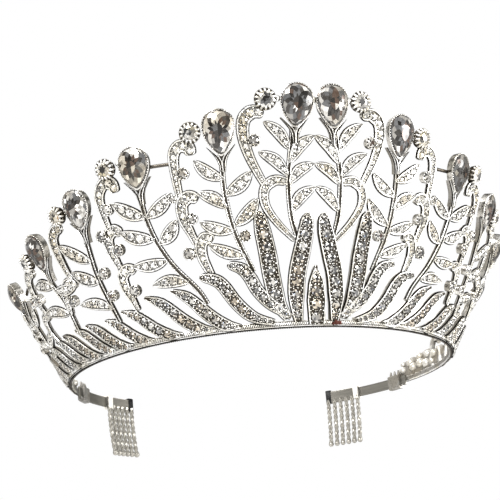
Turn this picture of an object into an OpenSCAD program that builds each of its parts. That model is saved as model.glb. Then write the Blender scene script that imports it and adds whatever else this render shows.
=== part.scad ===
// Bridal crown: an openwork wall of leaves, scrolls and drop stones that flares up
// from a round rim, open at the back, with a steel strip and a hair comb at each end.
// Millimetres. The front faces -Y, +Z is up, the origin is the centre of the rim circle.

/* [Wall] */
// radius of the rim circle
rim_r = 70; // [66:1:76]
// lean of the wall outward at the front, degrees from upright
flare_front = 18; // [15:1:22]
// lean of the wall outward at the sides, degrees from upright
flare_side = 31; // [27:1:34]
// thickness of the cast metal
metal_t = 1.6; // [1.4:0.1:2]
// height of the rim band
band_h = 1.6; // [1.4:0.1:2]

/* [Stones] */
// depth of the drop-shaped settings
pear_cup_t = 3.2; // [2.8:0.1:3.6]
// width of the metal edge round a drop stone
pear_edge = 0.7; // [0.6:0.05:0.8]
// depth of the round claw cups
round_cup_t = 2.6; // [2.4:0.1:3]
// space between a stone and its seat
seat_gap = 0.12; // [0.1:0.01:0.15]

/* [Strips and combs] */
// height of the steel strip
strip_h = 3.8; // [3.4:0.1:4.2]
// thickness of the steel strip
strip_t = 0.8; // [0.7:0.05:0.9]
// angle from the front at which the strip ends
strip_end = 142; // [140:1:145]
// length of a comb tine
tine_l = 19; // [16:1:22]
// thickness of a comb tine
tine_d = 1.7; // [1.5:0.05:1.9]

/* [Hidden] */
PI_DEG = 180 / PI;
SILVER = [0.80, 0.80, 0.82];
STEEL = [0.62, 0.61, 0.58];
CRYSTAL = [0.88, 0.90, 0.93];
AROUND = 0;
UP = 1;

// a drop stone: degrees round from the front, height up the wall, width, length,
// and how far the point leans round
PEAR_W = 2;
PEAR_L = 3;
PEAR_LEAN = 4;
pears = [
    [3.5, 69.4, 9.6, 12.6, 6],
    [18.9, 62.8, 9.2, 13.2, 0],
    [36, 56, 9.4, 12.2, 4],
    [50.3, 49.2, 9, 11.8, 6],
    [65, 42.3, 8.6, 11.2, 5],
    [84.5, 35.2, 8.2, 11, 4]
];

// a round stone in a claw cup: round, up, width of the cup
CUP_D = 2;
rounds = [
    [9.6, 69.8, 7.2],
    [24.4, 61.7, 7],
    [42, 56.5, 7],
    [56, 48.2, 6.8],
    [71, 40, 6.6]
];

// a stem: its points, round and up, from under the drop stone to the foot
stems = [
    [[4.2, 61.2], [5.1, 53], [5.7, 44.5], [5.4, 34], [4, 26.5]],
    [[18.9, 53.8], [19.2, 45], [18.7, 35.5], [17.4, 27.5], [14.6, 17.5]],
    [[36.4, 48.1], [36.4, 40], [35.2, 31], [32.4, 22.3], [28, 14.2]],
    [[50.8, 41.5], [51.4, 36], [51.8, 24], [50.2, 9.5]],
    [[65.5, 35], [66.4, 30], [65, 22.5], [65.2, 11]],
    [[84.9, 27.9], [86, 22], [86, 16], [85, 9]]
];

// a leaf: foot round and up, point round and up, width, sideways bow
LEAF_W = 4;
LEAF_BOW = 5;
leaves = [
    [5.4, 54.2, 10.2, 63, 3.7, 1.2],
    [5.8, 46.2, 11.6, 53.8, 3.7, 1.2],
    [5.2, 50, 0, 58.5, 3.7, -1.3],
    [5.5, 43.6, 0, 49.8, 3.6, -1.3],
    [5.2, 35.2, 0, 42.6, 3.8, -1.2],
    [18.9, 46.4, 24.5, 53.2, 3.8, -1],
    [19, 37.6, 24.7, 43.2, 3.8, 0.8],
    [18, 30.4, 25.1, 34.4, 3.7, -0.8],
    [16, 22.4, 23.9, 27.2, 3.7, -0.7],
    [19, 41.6, 13.3, 48, 4.1, 0.8],
    [17.8, 32, 12.4, 39.8, 4.1, 0.8],
    [36.3, 39, 42.6, 45.8, 4.2, -0.9],
    [35.4, 31.8, 42.9, 36.5, 4.1, -0.8],
    [33.6, 24.6, 41.9, 25.2, 3.8, -0.7],
    [29.8, 16.9, 38.4, 18, 3.8, 0.8],
    [36.2, 38.8, 30, 44.6, 4.1, 0.7],
    [34.5, 30, 30, 36.3, 4.3, 0.8],
    [51.8, 30.6, 58.8, 39.4, 4.2, -0.7],
    [51.8, 23.7, 58.5, 29.7, 4.2, -0.7],
    [50.6, 14.5, 60, 19, 3.8, 0.8],
    [66.2, 28.4, 73.1, 31.6, 4.2, 0.7],
    [65.2, 18, 74.9, 22.2, 4.1, 0.7],
    [66, 27, 58.8, 25.5, 3.8, 0.6],
    [85.8, 22, 80.4, 27, 3.8, 0.6],
    [85.8, 20.5, 92, 25.4, 4.1, 0.6],
    [85.6, 13.6, 93.4, 17.2, 3.8, 0.6],
    [85.2, 12, 77.8, 16.6, 3.8, -0.6]
];

// a scroll: width of its band and its points from the curl to the foot
BAND_W = 0;
BAND_PATH = 1;
scrolls = [
    [4.2, [[10, 65.6], [12.2, 66.2], [14, 63.8], [14.3, 58.5], [13.2, 51.6], [10.6, 43.2]]],
    [4, [[24.9, 55], [25.2, 57.6], [27, 58.2], [28.3, 55.6], [28.6, 49], [28.4, 41.5]]],
    [4, [[24.8, 41.4], [26.6, 42.6], [28.3, 40.6], [28.4, 36], [27.5, 32], [26.6, 28]]],
    [3.9, [[22.9, 28.4], [24.3, 29.4], [25.6, 27.6], [25.7, 23.8], [24.7, 19.4], [23.8, 16.6]]],
    [4, [[41.4, 48.8], [41.6, 51.6], [43.2, 52.5], [44.9, 49.6], [45.3, 44.5], [45, 38]]],
    [3.9, [[42.6, 36.2], [44.2, 37.8], [46, 35.8], [46.2, 31.8], [45.7, 28], [45, 24]]],
    [3.8, [[41.8, 24], [43.7, 24.8], [45.4, 22.8], [45.4, 18.8], [44.7, 15.6], [44, 11.5]]],
    [3.9, [[56.4, 44], [58, 44.4], [59.6, 42], [60.1, 37], [59.9, 32], [59.4, 27.5]]],
    [3.6, [[58.9, 25.2], [60.3, 27], [62.3, 26.8], [63.8, 24], [64.3, 20.6], [65, 17.5]]],
    [3.8, [[71.2, 36], [73, 36.6], [75, 34.8], [75.9, 31], [75.9, 26], [75, 20.4]]],
    [3.4, [[75, 20.6], [76.6, 21.8], [78.2, 20.4], [78.7, 17.4], [78.1, 14.4], [77, 11.5]]],
    [3.4, [[91.4, 30], [93, 29.6], [94.4, 27.2], [94.7, 23.8], [93.9, 19.6], [92.6, 15.5]]],
    [3.2, [[97, 22.2], [98.6, 22.2], [100, 20.2], [100.4, 17], [99.7, 13.6], [98.6, 11]]],
    [3.3, [[6, 44.4], [8.6, 44.9], [10.8, 42.4], [10.8, 37.2], [8.2, 31.4], [4.6, 26.2]]]
];

// a small round stone beside a curl: round, up, width
GEM_D = 2;
gems = [
    [12.3, 57.4, 3.6],
    [27, 49.8, 3.6],
    [26.7, 35.8, 3.5],
    [29.9, 42.8, 2.4],
    [28.3, 25.4, 3.8],
    [15.7, 28.6, 3.4],
    [44, 44.4, 3.5],
    [44.3, 31.4, 3.6],
    [47.1, 37, 3.6],
    [43.3, 17.8, 3.6],
    [49.5, 18.3, 3.4],
    [49.8, 25.8, 3.6],
    [62, 21.2, 3.6],
    [74.4, 27.6, 3.6],
    [77.6, 28.4, 3.6],
    [92.2, 21.2, 3.4],
    [98.1, 17.2, 3.2]
];

// a tall blade beside the centre: width and its points from foot to point
tall_blades = [
    [5.8, [[4.6, 1.6], [5, 8], [4.6, 15.5], [3.4, 22.5], [2.3, 29], [1.8, 34.6]]],
    [5.8, [[7.2, 2.6], [9.4, 7.6], [10.5, 15], [11.1, 22.5], [11.9, 30], [12.4, 35.8]]],
    [4.3, [[6.4, 3], [10.6, 6.6], [13.9, 11.4], [15.6, 16], [17.4, 18.9], [20.4, 20.4]]],
    [4.4, [[10.6, 1.6], [15.6, 3.8], [19.2, 8.4], [22, 14.4], [24, 16.6], [27, 17.8]]]
];

// a low blade along the rim: foot round, point round, point up, width
FOOT = 0;
POINT = 1;
POINT_UP = 2;
LOW_W = 3;
low_blades = [
    [18.5, 34.4, 15.4, 4.5],
    [25, 41.4, 15, 4.5],
    [33.5, 48.6, 12.6, 4.3],
    [41.8, 54.6, 11.4, 4.2],
    [48.4, 61.4, 12.2, 4.1],
    [54.2, 66.6, 12.4, 4],
    [60, 72.8, 12.8, 4],
    [66, 78.8, 12.8, 3.9],
    [72, 84.8, 12.8, 3.8],
    [78, 90.6, 12.6, 3.7],
    [84, 96.2, 12.2, 3.6],
    [90, 101.4, 11.4, 3.5],
    [95.6, 106, 10.2, 3.3]
];

// a soldered link: from round and up, to round and up
links = [
    [29, 53.4, 33.4, 53.8],
    [76, 34, 80, 32.4],
    [87, 34.4, 91.8, 30.2],
    [94.4, 27.6, 97.6, 22.6]
];

// how full a piece is along its length, as shares of its width
leaf_form = [[0, 0.25], [0.33, 1], [0.67, 0.95], [1, 0.12]];
blade_form = [[0, 0.2], [0.25, 0.95], [0.55, 1], [0.8, 0.85], [1, 0.2]];
tall_form = [[0, 0.5], [0.25, 0.95], [0.55, 1], [0.8, 0.88], [1, 0.25]];
scroll_form = [[0, 0.75], [0.25, 1], [0.55, 0.85], [1, 0.5]];
stem_form = [[0, 1], [1, 1]];

stem_w = 1.6;
link_w = 1.1;
pear_floor_t = 0.8;
calyx_t = 2;
calyx_drop = 2.2;
calyx_reach = 4.4;
calyx_rise = 4;
frame_end = 112;
low_blade_foot_up = 1.3;
blade_stone_count = 7;
blade_stone_d = 2.5;

// depth levels of the metal, measured out from the wall
back_face = -metal_t / 2;
front_face = metal_t / 2;
blade_front = front_face + 0.4;
tall_front = blade_front + 0.3;
gem_seat_t = metal_t + 0.2;

// the flared wall: lean, distance from the middle and a point out from it
function lean(around) = flare_front + (flare_side - flare_front) * pow(sin(around), 2);
function reach(around, up) = rim_r + up * sin(lean(around));
function wall(around, up, out) =
    let (r = reach(around, up) + out * cos(lean(around)))
    [r * sin(around), -r * cos(around), up * cos(lean(around)) - out * sin(lean(around))];

// a smooth line through a short row of points
function blend(a, b, c, d, t) =
    (2 * b + (c - a) * t + (2 * a - 5 * b + 4 * c - d) * t * t
     + (3 * b - a - 3 * c + d) * t * t * t) / 2;
function on_path(path, t) =
    let (last = len(path) - 1, x = t * last, i = min(floor(x), last - 1))
    blend(path[max(i - 1, 0)], path[i], path[i + 1], path[min(i + 2, last)], x - i);

// unit step sideways off a path, in degrees round and millimetres up
function sideways(path, t) =
    let (a = on_path(path, max(t - 0.02, 0)), b = on_path(path, min(t + 0.02, 1)),
         r = reach(a[AROUND], a[UP]),
         du = (b[AROUND] - a[AROUND]) / PI_DEG * r, dv = b[UP] - a[UP], n = norm([du, dv]))
    [-dv / n / r * PI_DEG, du / n];

// the path of a leaf and of a low blade
function leaf_path(leaf) =
    let (foot = [leaf[0], leaf[1]], point = [leaf[2], leaf[3]],
         r = reach(foot[AROUND], foot[UP]),
         du = (point[AROUND] - foot[AROUND]) / PI_DEG * r, dv = point[UP] - foot[UP],
         n = norm([du, dv]), bow = leaf[LEAF_BOW])
    [foot, (foot + point) / 2 + [-dv / n * bow / r * PI_DEG, du / n * bow], point];
function low_path(blade) =
    [for (t = [0, 0.25, 0.5, 0.75, 1])
        let (e = pow(t, 1.35))
        [blade[FOOT] + (blade[POINT] - blade[FOOT]) * t,
         low_blade_foot_up + (blade[POINT_UP] - low_blade_foot_up) * e * e * (3 - 2 * e)]];

// a flat band of metal bent along the wall
module band(path, width, form, parts, low, high) {
    rows = [for (i = [0 : parts])
        let (t = i / parts, p = on_path(path, t), s = sideways(path, t),
             h = width / 2 * lookup(t, form), a = p + s * h, b = p - s * h)
        each [wall(a[AROUND], a[UP], low), wall(b[AROUND], b[UP], low),
              wall(b[AROUND], b[UP], high), wall(a[AROUND], a[UP], high)]];
    sides = [for (i = [0 : parts - 1], j = [0 : 3])
        let (k = (j + 1) % 4, a = 4 * i + j, b = 4 * i + k, c = b + 4, d = a + 4)
        each [[a, b, c], [a, c, d]]];
    last = 4 * parts;
    ends = [[2, 1, 0], [3, 2, 0], [last, last + 1, last + 2], [last, last + 2, last + 3]];
    polyhedron(points = rows, faces = concat(sides, ends), convexity = 4);
}

// a ridged strip of metal bent along the wall, three-sided in section
module ridge(path, width, form, parts, low, high) {
    rows = [for (i = [0 : parts])
        let (t = i / parts, p = on_path(path, t), s = sideways(path, t),
             h = width / 2 * lookup(t, form), a = p + s * h, b = p - s * h)
        each [wall(a[AROUND], a[UP], low), wall(b[AROUND], b[UP], low),
              wall(p[AROUND], p[UP], high)]];
    sides = [for (i = [0 : parts - 1], j = [0 : 2])
        let (k = (j + 1) % 3, a = 3 * i + j, b = 3 * i + k, c = b + 3, d = a + 3)
        each [[a, b, c], [a, c, d]]];
    last = 3 * parts;
    polyhedron(points = rows, faces = concat(sides, [[2, 1, 0], [last, last + 1, last + 2]]),
               convexity = 4);
}

// lays a piece on the wall, its own X round the crown, Y up the wall and Z outward
module on_wall(around, up, out) {
    translate(wall(around, up, out))
        rotate([90 + lean(around), 0, around])
            children();
}

module both_sides() {
    children();
    mirror([1, 0, 0])
        children();
}

// outline of a drop, round at the top, pointed below
module drop_outline(w, l, turn) {
    r = w / 2;
    rotate([0, 0, turn])
        polygon([
            for (a = [-20 : 31.4 : 200]) r * [cos(a), sin(a)],
            [-r * 0.62, -(l - r) * 0.55],
            [0, -(l - r)],
            [r * 0.62, -(l - r) * 0.55]
        ]);
}

module pear_setting(pear) {
    w = pear[PEAR_W] + 2 * pear_edge;
    l = pear[PEAR_L] + 2 * pear_edge;
    on_wall(pear[AROUND], pear[UP], back_face)
        difference() {
            linear_extrude(height = pear_cup_t)
                drop_outline(w, l, pear[PEAR_LEAN]);
            translate([0, 0, pear_floor_t])
                linear_extrude(height = pear_cup_t)
                    drop_outline(w - 2 * pear_edge, l - 2 * pear_edge, pear[PEAR_LEAN]);
        }
    // the calyx, two sepals in one piece that clasp the point of the drop
    point_up = pear[UP] - (pear[PEAR_L] - pear[PEAR_W] / 2) - pear_edge;
    point_at = pear[AROUND] + pear[PEAR_LEAN] * 0.08;
    on_wall(point_at, point_up, back_face + 0.1)
        linear_extrude(height = calyx_t)
            polygon([[0, -calyx_drop], [calyx_reach, calyx_rise], [0, 0.8],
                     [-calyx_reach, calyx_rise]]);
}

module round_cup(cup) {
    d = cup[CUP_D];
    on_wall(cup[AROUND], cup[UP], back_face)
        difference() {
            cylinder(d1 = d * 0.9, d2 = d, h = round_cup_t, $fn = 8);
            translate([0, 0, 1])
                cylinder(d = d - 1.6, h = round_cup_t, $fn = 8);
        }
}

module gem_seat(gem) {
    on_wall(gem[AROUND], gem[UP], back_face)
        cylinder(d = gem[GEM_D] + 0.9, h = gem_seat_t, $fn = 6);
}

module link(bar) {
    hull() {
        on_wall(bar[0], bar[1], 0)
            cylinder(d = link_w, h = link_w, center = true, $fn = 3);
        on_wall(bar[2], bar[3], 0)
            cylinder(d = link_w, h = link_w, center = true, $fn = 3);
    }
}

// one half of the openwork, the side of growing angles
module half_openwork() {
    for (stem = stems)
        ridge(stem, stem_w, stem_form, 3, back_face + 0.3, front_face);
    for (leaf = leaves)
        ridge(leaf_path(leaf), leaf[LEAF_W], leaf_form, 3, back_face + 0.6, front_face + 0.3);
    for (scroll = scrolls)
        band(scroll[BAND_PATH], scroll[BAND_W], scroll_form, 5, back_face, front_face);
    for (blade = tall_blades)
        band(blade[BAND_PATH], blade[BAND_W], tall_form, 4, back_face - 0.6, tall_front);
    for (i = [0 : len(low_blades) - 1])
        band(low_path(low_blades[i]), low_blades[i][LOW_W], blade_form, 3,
             back_face - 0.3 * (i % 2), blade_front - 0.3 * (i % 2));
    for (pear = pears)
        pear_setting(pear);
    for (cup = rounds)
        round_cup(cup);
    for (gem = gems)
        gem_seat(gem);
    for (bar = links)
        link(bar);
    end_plate();
}

// the rounded cast end with its grip round the strip
module end_plate() {
    lobes = [[94.2, 6.3, 12], [101.6, 6.6, 13], [108.6, 5.8, 11.4]];
    for (lobe = lobes)
        on_wall(lobe[0], lobe[1], back_face)
            cylinder(d = lobe[2], h = metal_t, $fn = 8);
    on_wall(frame_end - 0.6, 1.9, 0)
        cylinder(d = 4, h = metal_t, center = true, $fn = 8);
}

// the band all round the foot of the wall
module rim_band() {
    rotate([0, 0, -90 - frame_end])
        rotate_extrude(angle = 2 * frame_end, $fn = 60)
            polygon([[rim_r - 0.9, -0.6], [rim_r + 0.6, -0.6],
                     [rim_r + 1.2, band_h], [rim_r - 0.9, band_h]]);
}

// closed grip that holds the strip, with a small space all round it
grip_from = 109.6;
grip_turn = 5.4;
grip_wall = 0.8;
strip_r = rim_r - 0.9 - seat_gap - strip_t;
strip_low = -1.6;
module strip_grip() {
    outer = [strip_t + 2 * (seat_gap + grip_wall), strip_h + 2 * (seat_gap + grip_wall)];
    hole = [strip_t + 2 * seat_gap, strip_h + 2 * seat_gap];
    rotate([0, 0, -90 + grip_from])
        rotate_extrude(angle = grip_turn, $fn = 120)
            translate([strip_r + strip_t / 2, strip_low + strip_h / 2])
                difference() {
                    square(outer, center = true);
                    square(hole, center = true);
                }
}

// the centre leaf that stands on the rim between the two tallest blades
module centre_leaf() {
    band([[0, 0.6], [0, 7.5], [0, 13], [0, 18.6]], 6.4,
         [[0, 0.8], [0.35, 1], [0.7, 0.8], [1, 0.1]], 3, back_face - 0.6, tall_front);
}

module openwork_frame() {
    color(SILVER)
        union() {
            both_sides()
                half_openwork();
            both_sides()
                strip_grip();
            rim_band();
            centre_leaf();
        }
}

// a drop stone: flat table, sloping crown, girdle and pavilion
module drop_stone(pear) {
    w = pear[PEAR_W] - 2 * seat_gap;
    l = pear[PEAR_L] - 2 * seat_gap;
    turn = pear[PEAR_LEAN];
    foot = 0.45;
    table = 0.56;
    depth = pear_cup_t - 1.4;
    on_wall(pear[AROUND], pear[UP], back_face + pear_floor_t + seat_gap)
        hull() {
            linear_extrude(height = depth, scale = 1 / foot)
                drop_outline(w * foot, l * foot, turn);
            translate([0, 0, depth])
                linear_extrude(height = 1.6, scale = table)
                    drop_outline(w, l, turn);
        }
}

// a round stone: table, eight crown facets, girdle and pavilion
module round_stone(d, depth, crown) {
    hull() {
        cylinder(d1 = d * 0.3, d2 = d, h = depth, $fn = 8);
        translate([0, 0, depth])
            cylinder(d1 = d, d2 = d * 0.58, h = crown, $fn = 8);
    }
}

module cup_stone(cup) {
    on_wall(cup[AROUND], cup[UP], back_face + 1 + seat_gap)
        round_stone(cup[CUP_D] - 1.6 - 2 * seat_gap, 1.2, 0.9);
}

// a small stone: table and eight crown facets on a flat foot
module small_stone(d, h) {
    hull()
        cylinder(d1 = d, d2 = d * 0.55, h = h, $fn = 8);
}

module gem_stones(side) {
    for (gem = gems)
        on_wall(side * gem[AROUND], gem[UP], back_face + gem_seat_t + seat_gap)
            small_stone(gem[GEM_D], 1.3);
}

// stones laid in a row along a blade, smaller towards its ends
module stone_row(path, side, count, width, from, to) {
    for (i = [0 : count - 1]) {
        t = from + (to - from) * i / (count - 1);
        p = on_path(path, t);
        size = min(blade_stone_d, width * lookup(t, tall_form) - 1);
        on_wall(side * p[AROUND], p[UP], tall_front + seat_gap)
            small_stone(size, 1);
    }
}

// the two tallest blades carry the largest stones of the row
module blade_stones(side) {
    for (i = [0, 1])
        stone_row(tall_blades[i][BAND_PATH], side, blade_stone_count, tall_blades[i][BAND_W],
                  0.26, 0.88);
}

module strip(side) {
    strip_from = 107;
    mirror([side < 0 ? 1 : 0, 0, 0])
        rotate([0, 0, -90 + strip_from])
            rotate_extrude(angle = strip_end - strip_from, $fn = 180)
                translate([strip_r, strip_low])
                    square([strip_t, strip_h]);
}

// the comb: a back plate inside the strip, a loop round the strip at each end, and tines
comb_from = strip_end - 13.4;
comb_to = strip_end - 0.4;
comb_plate_t = 0.9;
loop_turn = 1.8;
tines = 6;
tine_bend_r = 95;
module comb(side) {
    plate_r = strip_r - seat_gap - comb_plate_t;
    plate_low = strip_low - 0.9;
    mirror([side < 0 ? 1 : 0, 0, 0])
        union() {
            rotate([0, 0, -90 + comb_from])
                rotate_extrude(angle = comb_to - comb_from, $fn = 180)
                    translate([plate_r, plate_low])
                        square([comb_plate_t, strip_h + 1.2]);
            for (at = [comb_from, comb_to - loop_turn])
                rotate([0, 0, -90 + at])
                    comb_loop();
            for (i = [0 : tines - 1])
                rotate([0, 0, comb_from + 0.6 + (comb_to - comb_from - 1.2) * i / (tines - 1)])
                    comb_tine(plate_r, plate_low);
        }
}

module comb_loop() {
    inner = [strip_t + 2 * seat_gap, strip_h + 2 * seat_gap];
    outer = [strip_t + 2 * (seat_gap + 0.7), strip_h + 2 * (seat_gap + 0.8)];
    rotate_extrude(angle = loop_turn, $fn = 180)
        translate([strip_r + strip_t / 2, strip_low + strip_h / 2])
            difference() {
                square(outer, center = true);
                square(inner, center = true);
            }
}

// one tine, bent gently towards the head, with a ball end
module comb_tine(plate_r, plate_low) {
    bend = tine_l / tine_bend_r * PI_DEG;
    top = plate_low + 1.4;
    translate([0, tine_d / 2 - plate_r - comb_plate_t + tine_bend_r, top])
        rotate([0, 90, 0])
            rotate([0, 0, -90]) {
                rotate_extrude(angle = bend, $fn = 60)
                    translate([tine_bend_r, 0])
                        circle(d = tine_d, $fn = 24);
                rotate([0, 0, bend])
                    translate([tine_bend_r, 0, 0])
                        sphere(d = tine_d + 0.5, $fn = 24);
            }
}

module pear_stone(side, row) {
    color(CRYSTAL)
        mirror([side < 0 ? 1 : 0, 0, 0])
            drop_stone(pears[row]);
}

module cup_stone_at(side, row) {
    color(CRYSTAL)
        mirror([side < 0 ? 1 : 0, 0, 0])
            cup_stone(rounds[row]);
}

module pear_left_1() { pear_stone(-1, 0); }
module pear_left_2() { pear_stone(-1, 1); }
module pear_left_3() { pear_stone(-1, 2); }
module pear_left_4() { pear_stone(-1, 3); }
module pear_left_5() { pear_stone(-1, 4); }
module pear_left_6() { pear_stone(-1, 5); }
module pear_right_1() { pear_stone(1, 0); }
module pear_right_2() { pear_stone(1, 1); }
module pear_right_3() { pear_stone(1, 2); }
module pear_right_4() { pear_stone(1, 3); }
module pear_right_5() { pear_stone(1, 4); }
module pear_right_6() { pear_stone(1, 5); }
module round_left_1() { cup_stone_at(-1, 0); }
module round_left_2() { cup_stone_at(-1, 1); }
module round_left_3() { cup_stone_at(-1, 2); }
module round_left_4() { cup_stone_at(-1, 3); }
module round_left_5() { cup_stone_at(-1, 4); }
module round_right_1() { cup_stone_at(1, 0); }
module round_right_2() { cup_stone_at(1, 1); }
module round_right_3() { cup_stone_at(1, 2); }
module round_right_4() { cup_stone_at(1, 3); }
module round_right_5() { cup_stone_at(1, 4); }
module scroll_stones_left() { color(CRYSTAL) gem_stones(-1); }
module scroll_stones_right() { color(CRYSTAL) gem_stones(1); }
module blade_stones_left() { color(CRYSTAL) blade_stones(-1); }
module blade_stones_right() { color(CRYSTAL) blade_stones(1); }
module centre_leaf_stones() {
    color(CRYSTAL)
        for (stone = [[4.4, 2.6], [8, 3.2], [12, 2.6], [15.2, 1.8]])
            on_wall(0, stone[0], tall_front + seat_gap)
                small_stone(stone[1], 1.2);
}
module strip_left() { color(STEEL) strip(-1); }
module strip_right() { color(STEEL) strip(1); }
module comb_left() { color(STEEL) comb(-1); }
module comb_right() { color(STEEL) comb(1); }

openwork_frame();
pear_left_1();
pear_left_2();
pear_left_3();
pear_left_4();
pear_left_5();
pear_left_6();
pear_right_1();
pear_right_2();
pear_right_3();
pear_right_4();
pear_right_5();
pear_right_6();
round_left_1();
round_left_2();
round_left_3();
round_left_4();
round_left_5();
round_right_1();
round_right_2();
round_right_3();
round_right_4();
round_right_5();
scroll_stones_left();
scroll_stones_right();
blade_stones_left();
blade_stones_right();
centre_leaf_stones();
strip_left();
strip_right();
comb_left();
comb_right();
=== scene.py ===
"""Dresses the bridal crown: cast silver openwork, drop stones, claw-set rounds, pave, strips and combs."""
import collections
import functools
import math
import random

import bmesh
import bpy
from mathutils import Matrix, Vector


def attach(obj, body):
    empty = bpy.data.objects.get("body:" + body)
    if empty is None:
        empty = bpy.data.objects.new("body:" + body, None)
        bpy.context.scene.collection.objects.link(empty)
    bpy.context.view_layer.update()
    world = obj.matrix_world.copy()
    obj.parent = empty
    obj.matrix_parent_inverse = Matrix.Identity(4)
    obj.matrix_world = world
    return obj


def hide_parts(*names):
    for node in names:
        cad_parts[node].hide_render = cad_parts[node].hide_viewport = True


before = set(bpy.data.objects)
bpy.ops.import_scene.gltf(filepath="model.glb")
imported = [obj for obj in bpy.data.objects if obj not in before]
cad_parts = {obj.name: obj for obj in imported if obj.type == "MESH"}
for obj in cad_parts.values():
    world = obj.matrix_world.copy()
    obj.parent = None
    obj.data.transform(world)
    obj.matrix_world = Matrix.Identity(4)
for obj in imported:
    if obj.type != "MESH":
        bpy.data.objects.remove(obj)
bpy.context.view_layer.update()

MM = 0.001
SIDES = ((-1, "left"), (1, "right"))

# the wall and the rim, in mm and degrees
RIM_R = 70.0
FLARE_FRONT = 18.0
FLARE_SIDE = 31.0
METAL_T = 1.6
BAND_H = 1.6
FRAME_END = 112.0
BACK = -METAL_T / 2
FRONT = METAL_T / 2
BLADE_FRONT = FRONT + 0.4
TALL_FRONT = BLADE_FRONT + 0.3
LOW_BLADE_FOOT_UP = 1.3
STEM_W = 1.8
FULLER = 1.15
# wire edge, bevel and sunk floor of a channel
RIM_WIRE = 0.56
BLADE_WIRE = 0.4
EDGE_BEVEL = 0.28
RECESS = 0.45
# settings of the drop and round stones
PEAR_CUP_T = 3.2
PEAR_EDGE = 0.7
PEAR_FLOOR_T = 0.8
ROUND_CUP_T = 2.6
CLAWS = 14
# stones in a channel
STONE_SUNK = 0.35
SMALLEST_STONE = 0.7
CORNER_STONE = 0.85
CORNER_ROOM = 1.15
CROWN_ROOM = 0.45
CROWN_REACH = 0.36
CLAW_BEAD = 0.46
CLAW_RISE = 0.22
# strips, the grips that hold them, and the combs
SEAT_GAP = 0.12
STRIP_H = 3.8
STRIP_T = 0.8
STRIP_END = 142.0
STRIP_R = RIM_R - 0.9 - SEAT_GAP - STRIP_T
STRIP_LOW = -1.6
GRIP_FROM = 109.6
GRIP_TO = 115.0
GRIP_WALL = 0.8
PRONGS = (110.6, 112.4, 114.2)
EYE = (109.2, -1.3)
COMB_FROM = STRIP_END - 13.4
COMB_TO = STRIP_END - 0.4
LOOP_TURN = 1.8
LOOP_WALL = 0.7
TINES = 6
TINE_L = 19.0
TINE_D = 1.7
TINE_BEND_R = 95.0
TWIST_L = 4.2
STRAND_R = 0.54
STRAND_OFF = 0.4
# beads of the rope and of the line round the rim
ROPE_BEADS = 400

# slots of the casting: bright tops, sunk floors darkened with oxide and painted shade, bevels painted dark as
# shade, plain cast, then the rounded ends, their bumps painted light as highlight, and the lump
TOP, FLOOR, BEVEL, CAST, SATIN, BUMP_HIGHLIGHT, LUMP = range(7)
# slots of a comb
PLATE, PALE_WINDING, DARK_WINDING, TINE = range(4)

# around, up, width, length, lean of the point
PEARS = [
    (3.5, 69.4, 9.6, 12.6, 6),
    (18.9, 62.8, 9.2, 13.2, 0),
    (36, 56, 9.4, 12.2, 4),
    (50.3, 49.2, 9, 11.8, 6),
    (65, 42.3, 8.6, 11.2, 5),
    (84.5, 35.2, 8.2, 11, 4),
]
# around, up, width of the cup
ROUNDS = [
    (9.6, 69.8, 7.2),
    (24.4, 61.7, 7),
    (42, 56.5, 7),
    (56, 48.2, 6.8),
    (71, 40, 6.6),
]
# points of each stem from the drop stone down to the foot
STEMS = [
    [(4.2, 61.2), (5.1, 53), (5.7, 44.5), (5.4, 34), (4, 26.5)],
    [(18.9, 53.8), (19.2, 45), (18.7, 35.5), (17.4, 27.5), (14.6, 17.5)],
    [(36.4, 48.1), (36.4, 40), (35.2, 31), (32.4, 22.3), (28, 14.2), (26.2, 9.4)],
    [(50.8, 41.5), (51.4, 36), (51.8, 24), (50.2, 9.5)],
    [(65.5, 35), (66.4, 30), (65, 22.5), (65.2, 11)],
    [(84.9, 27.9), (86, 22), (86, 16), (85, 9)],
]
# foot around and up, point around and up, width, bow
LEAVES = [
    (5.4, 54.2, 10.2, 63, 3.7, 1.2),
    (5.8, 46.2, 11.6, 53.8, 3.7, 1.2),
    (5.2, 50, 0, 58.5, 3.7, -1.3),
    (5.5, 43.6, 0, 49.8, 3.6, -1.3),
    (5.2, 35.2, 0, 42.6, 3.8, -1.2),
    (18.9, 46.4, 24.5, 53.2, 3.8, -1),
    (19, 37.6, 24.7, 43.2, 3.8, 0.8),
    (18, 30.4, 25.1, 34.4, 3.7, -0.8),
    (16, 22.4, 23.9, 27.2, 3.7, -0.7),
    (19, 41.6, 13.3, 48, 4.1, 0.8),
    (17.8, 32, 12.4, 39.8, 4.1, 0.8),
    (36.3, 39, 42.6, 45.8, 4.2, -0.9),
    (35.4, 31.8, 42.9, 36.5, 4.1, -0.8),
    (33.6, 24.6, 41.9, 25.2, 3.8, -0.7),
    (29.8, 16.9, 38.4, 18, 3.8, 0.8),
    (36.2, 38.8, 30, 44.6, 4.1, 0.7),
    (34.5, 30, 30, 36.3, 4.3, 0.8),
    (51.8, 30.6, 58.8, 39.4, 4.2, -0.7),
    (51.8, 23.7, 58.5, 29.7, 4.2, -0.7),
    (50.6, 14.5, 60, 19, 3.8, 0.8),
    (66.2, 28.4, 73.1, 31.6, 4.2, 0.7),
    (65.2, 18, 74.9, 22.2, 4.1, 0.7),
    (66, 27, 58.8, 25.5, 3.8, 0.6),
    (85.8, 22, 80.4, 27, 3.8, 0.6),
    (85.8, 20.5, 92, 25.4, 4.1, 0.6),
    (85.6, 13.6, 93.4, 17.2, 3.8, 0.6),
    (85.2, 12, 77.8, 16.6, 3.8, -0.6),
]
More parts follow.
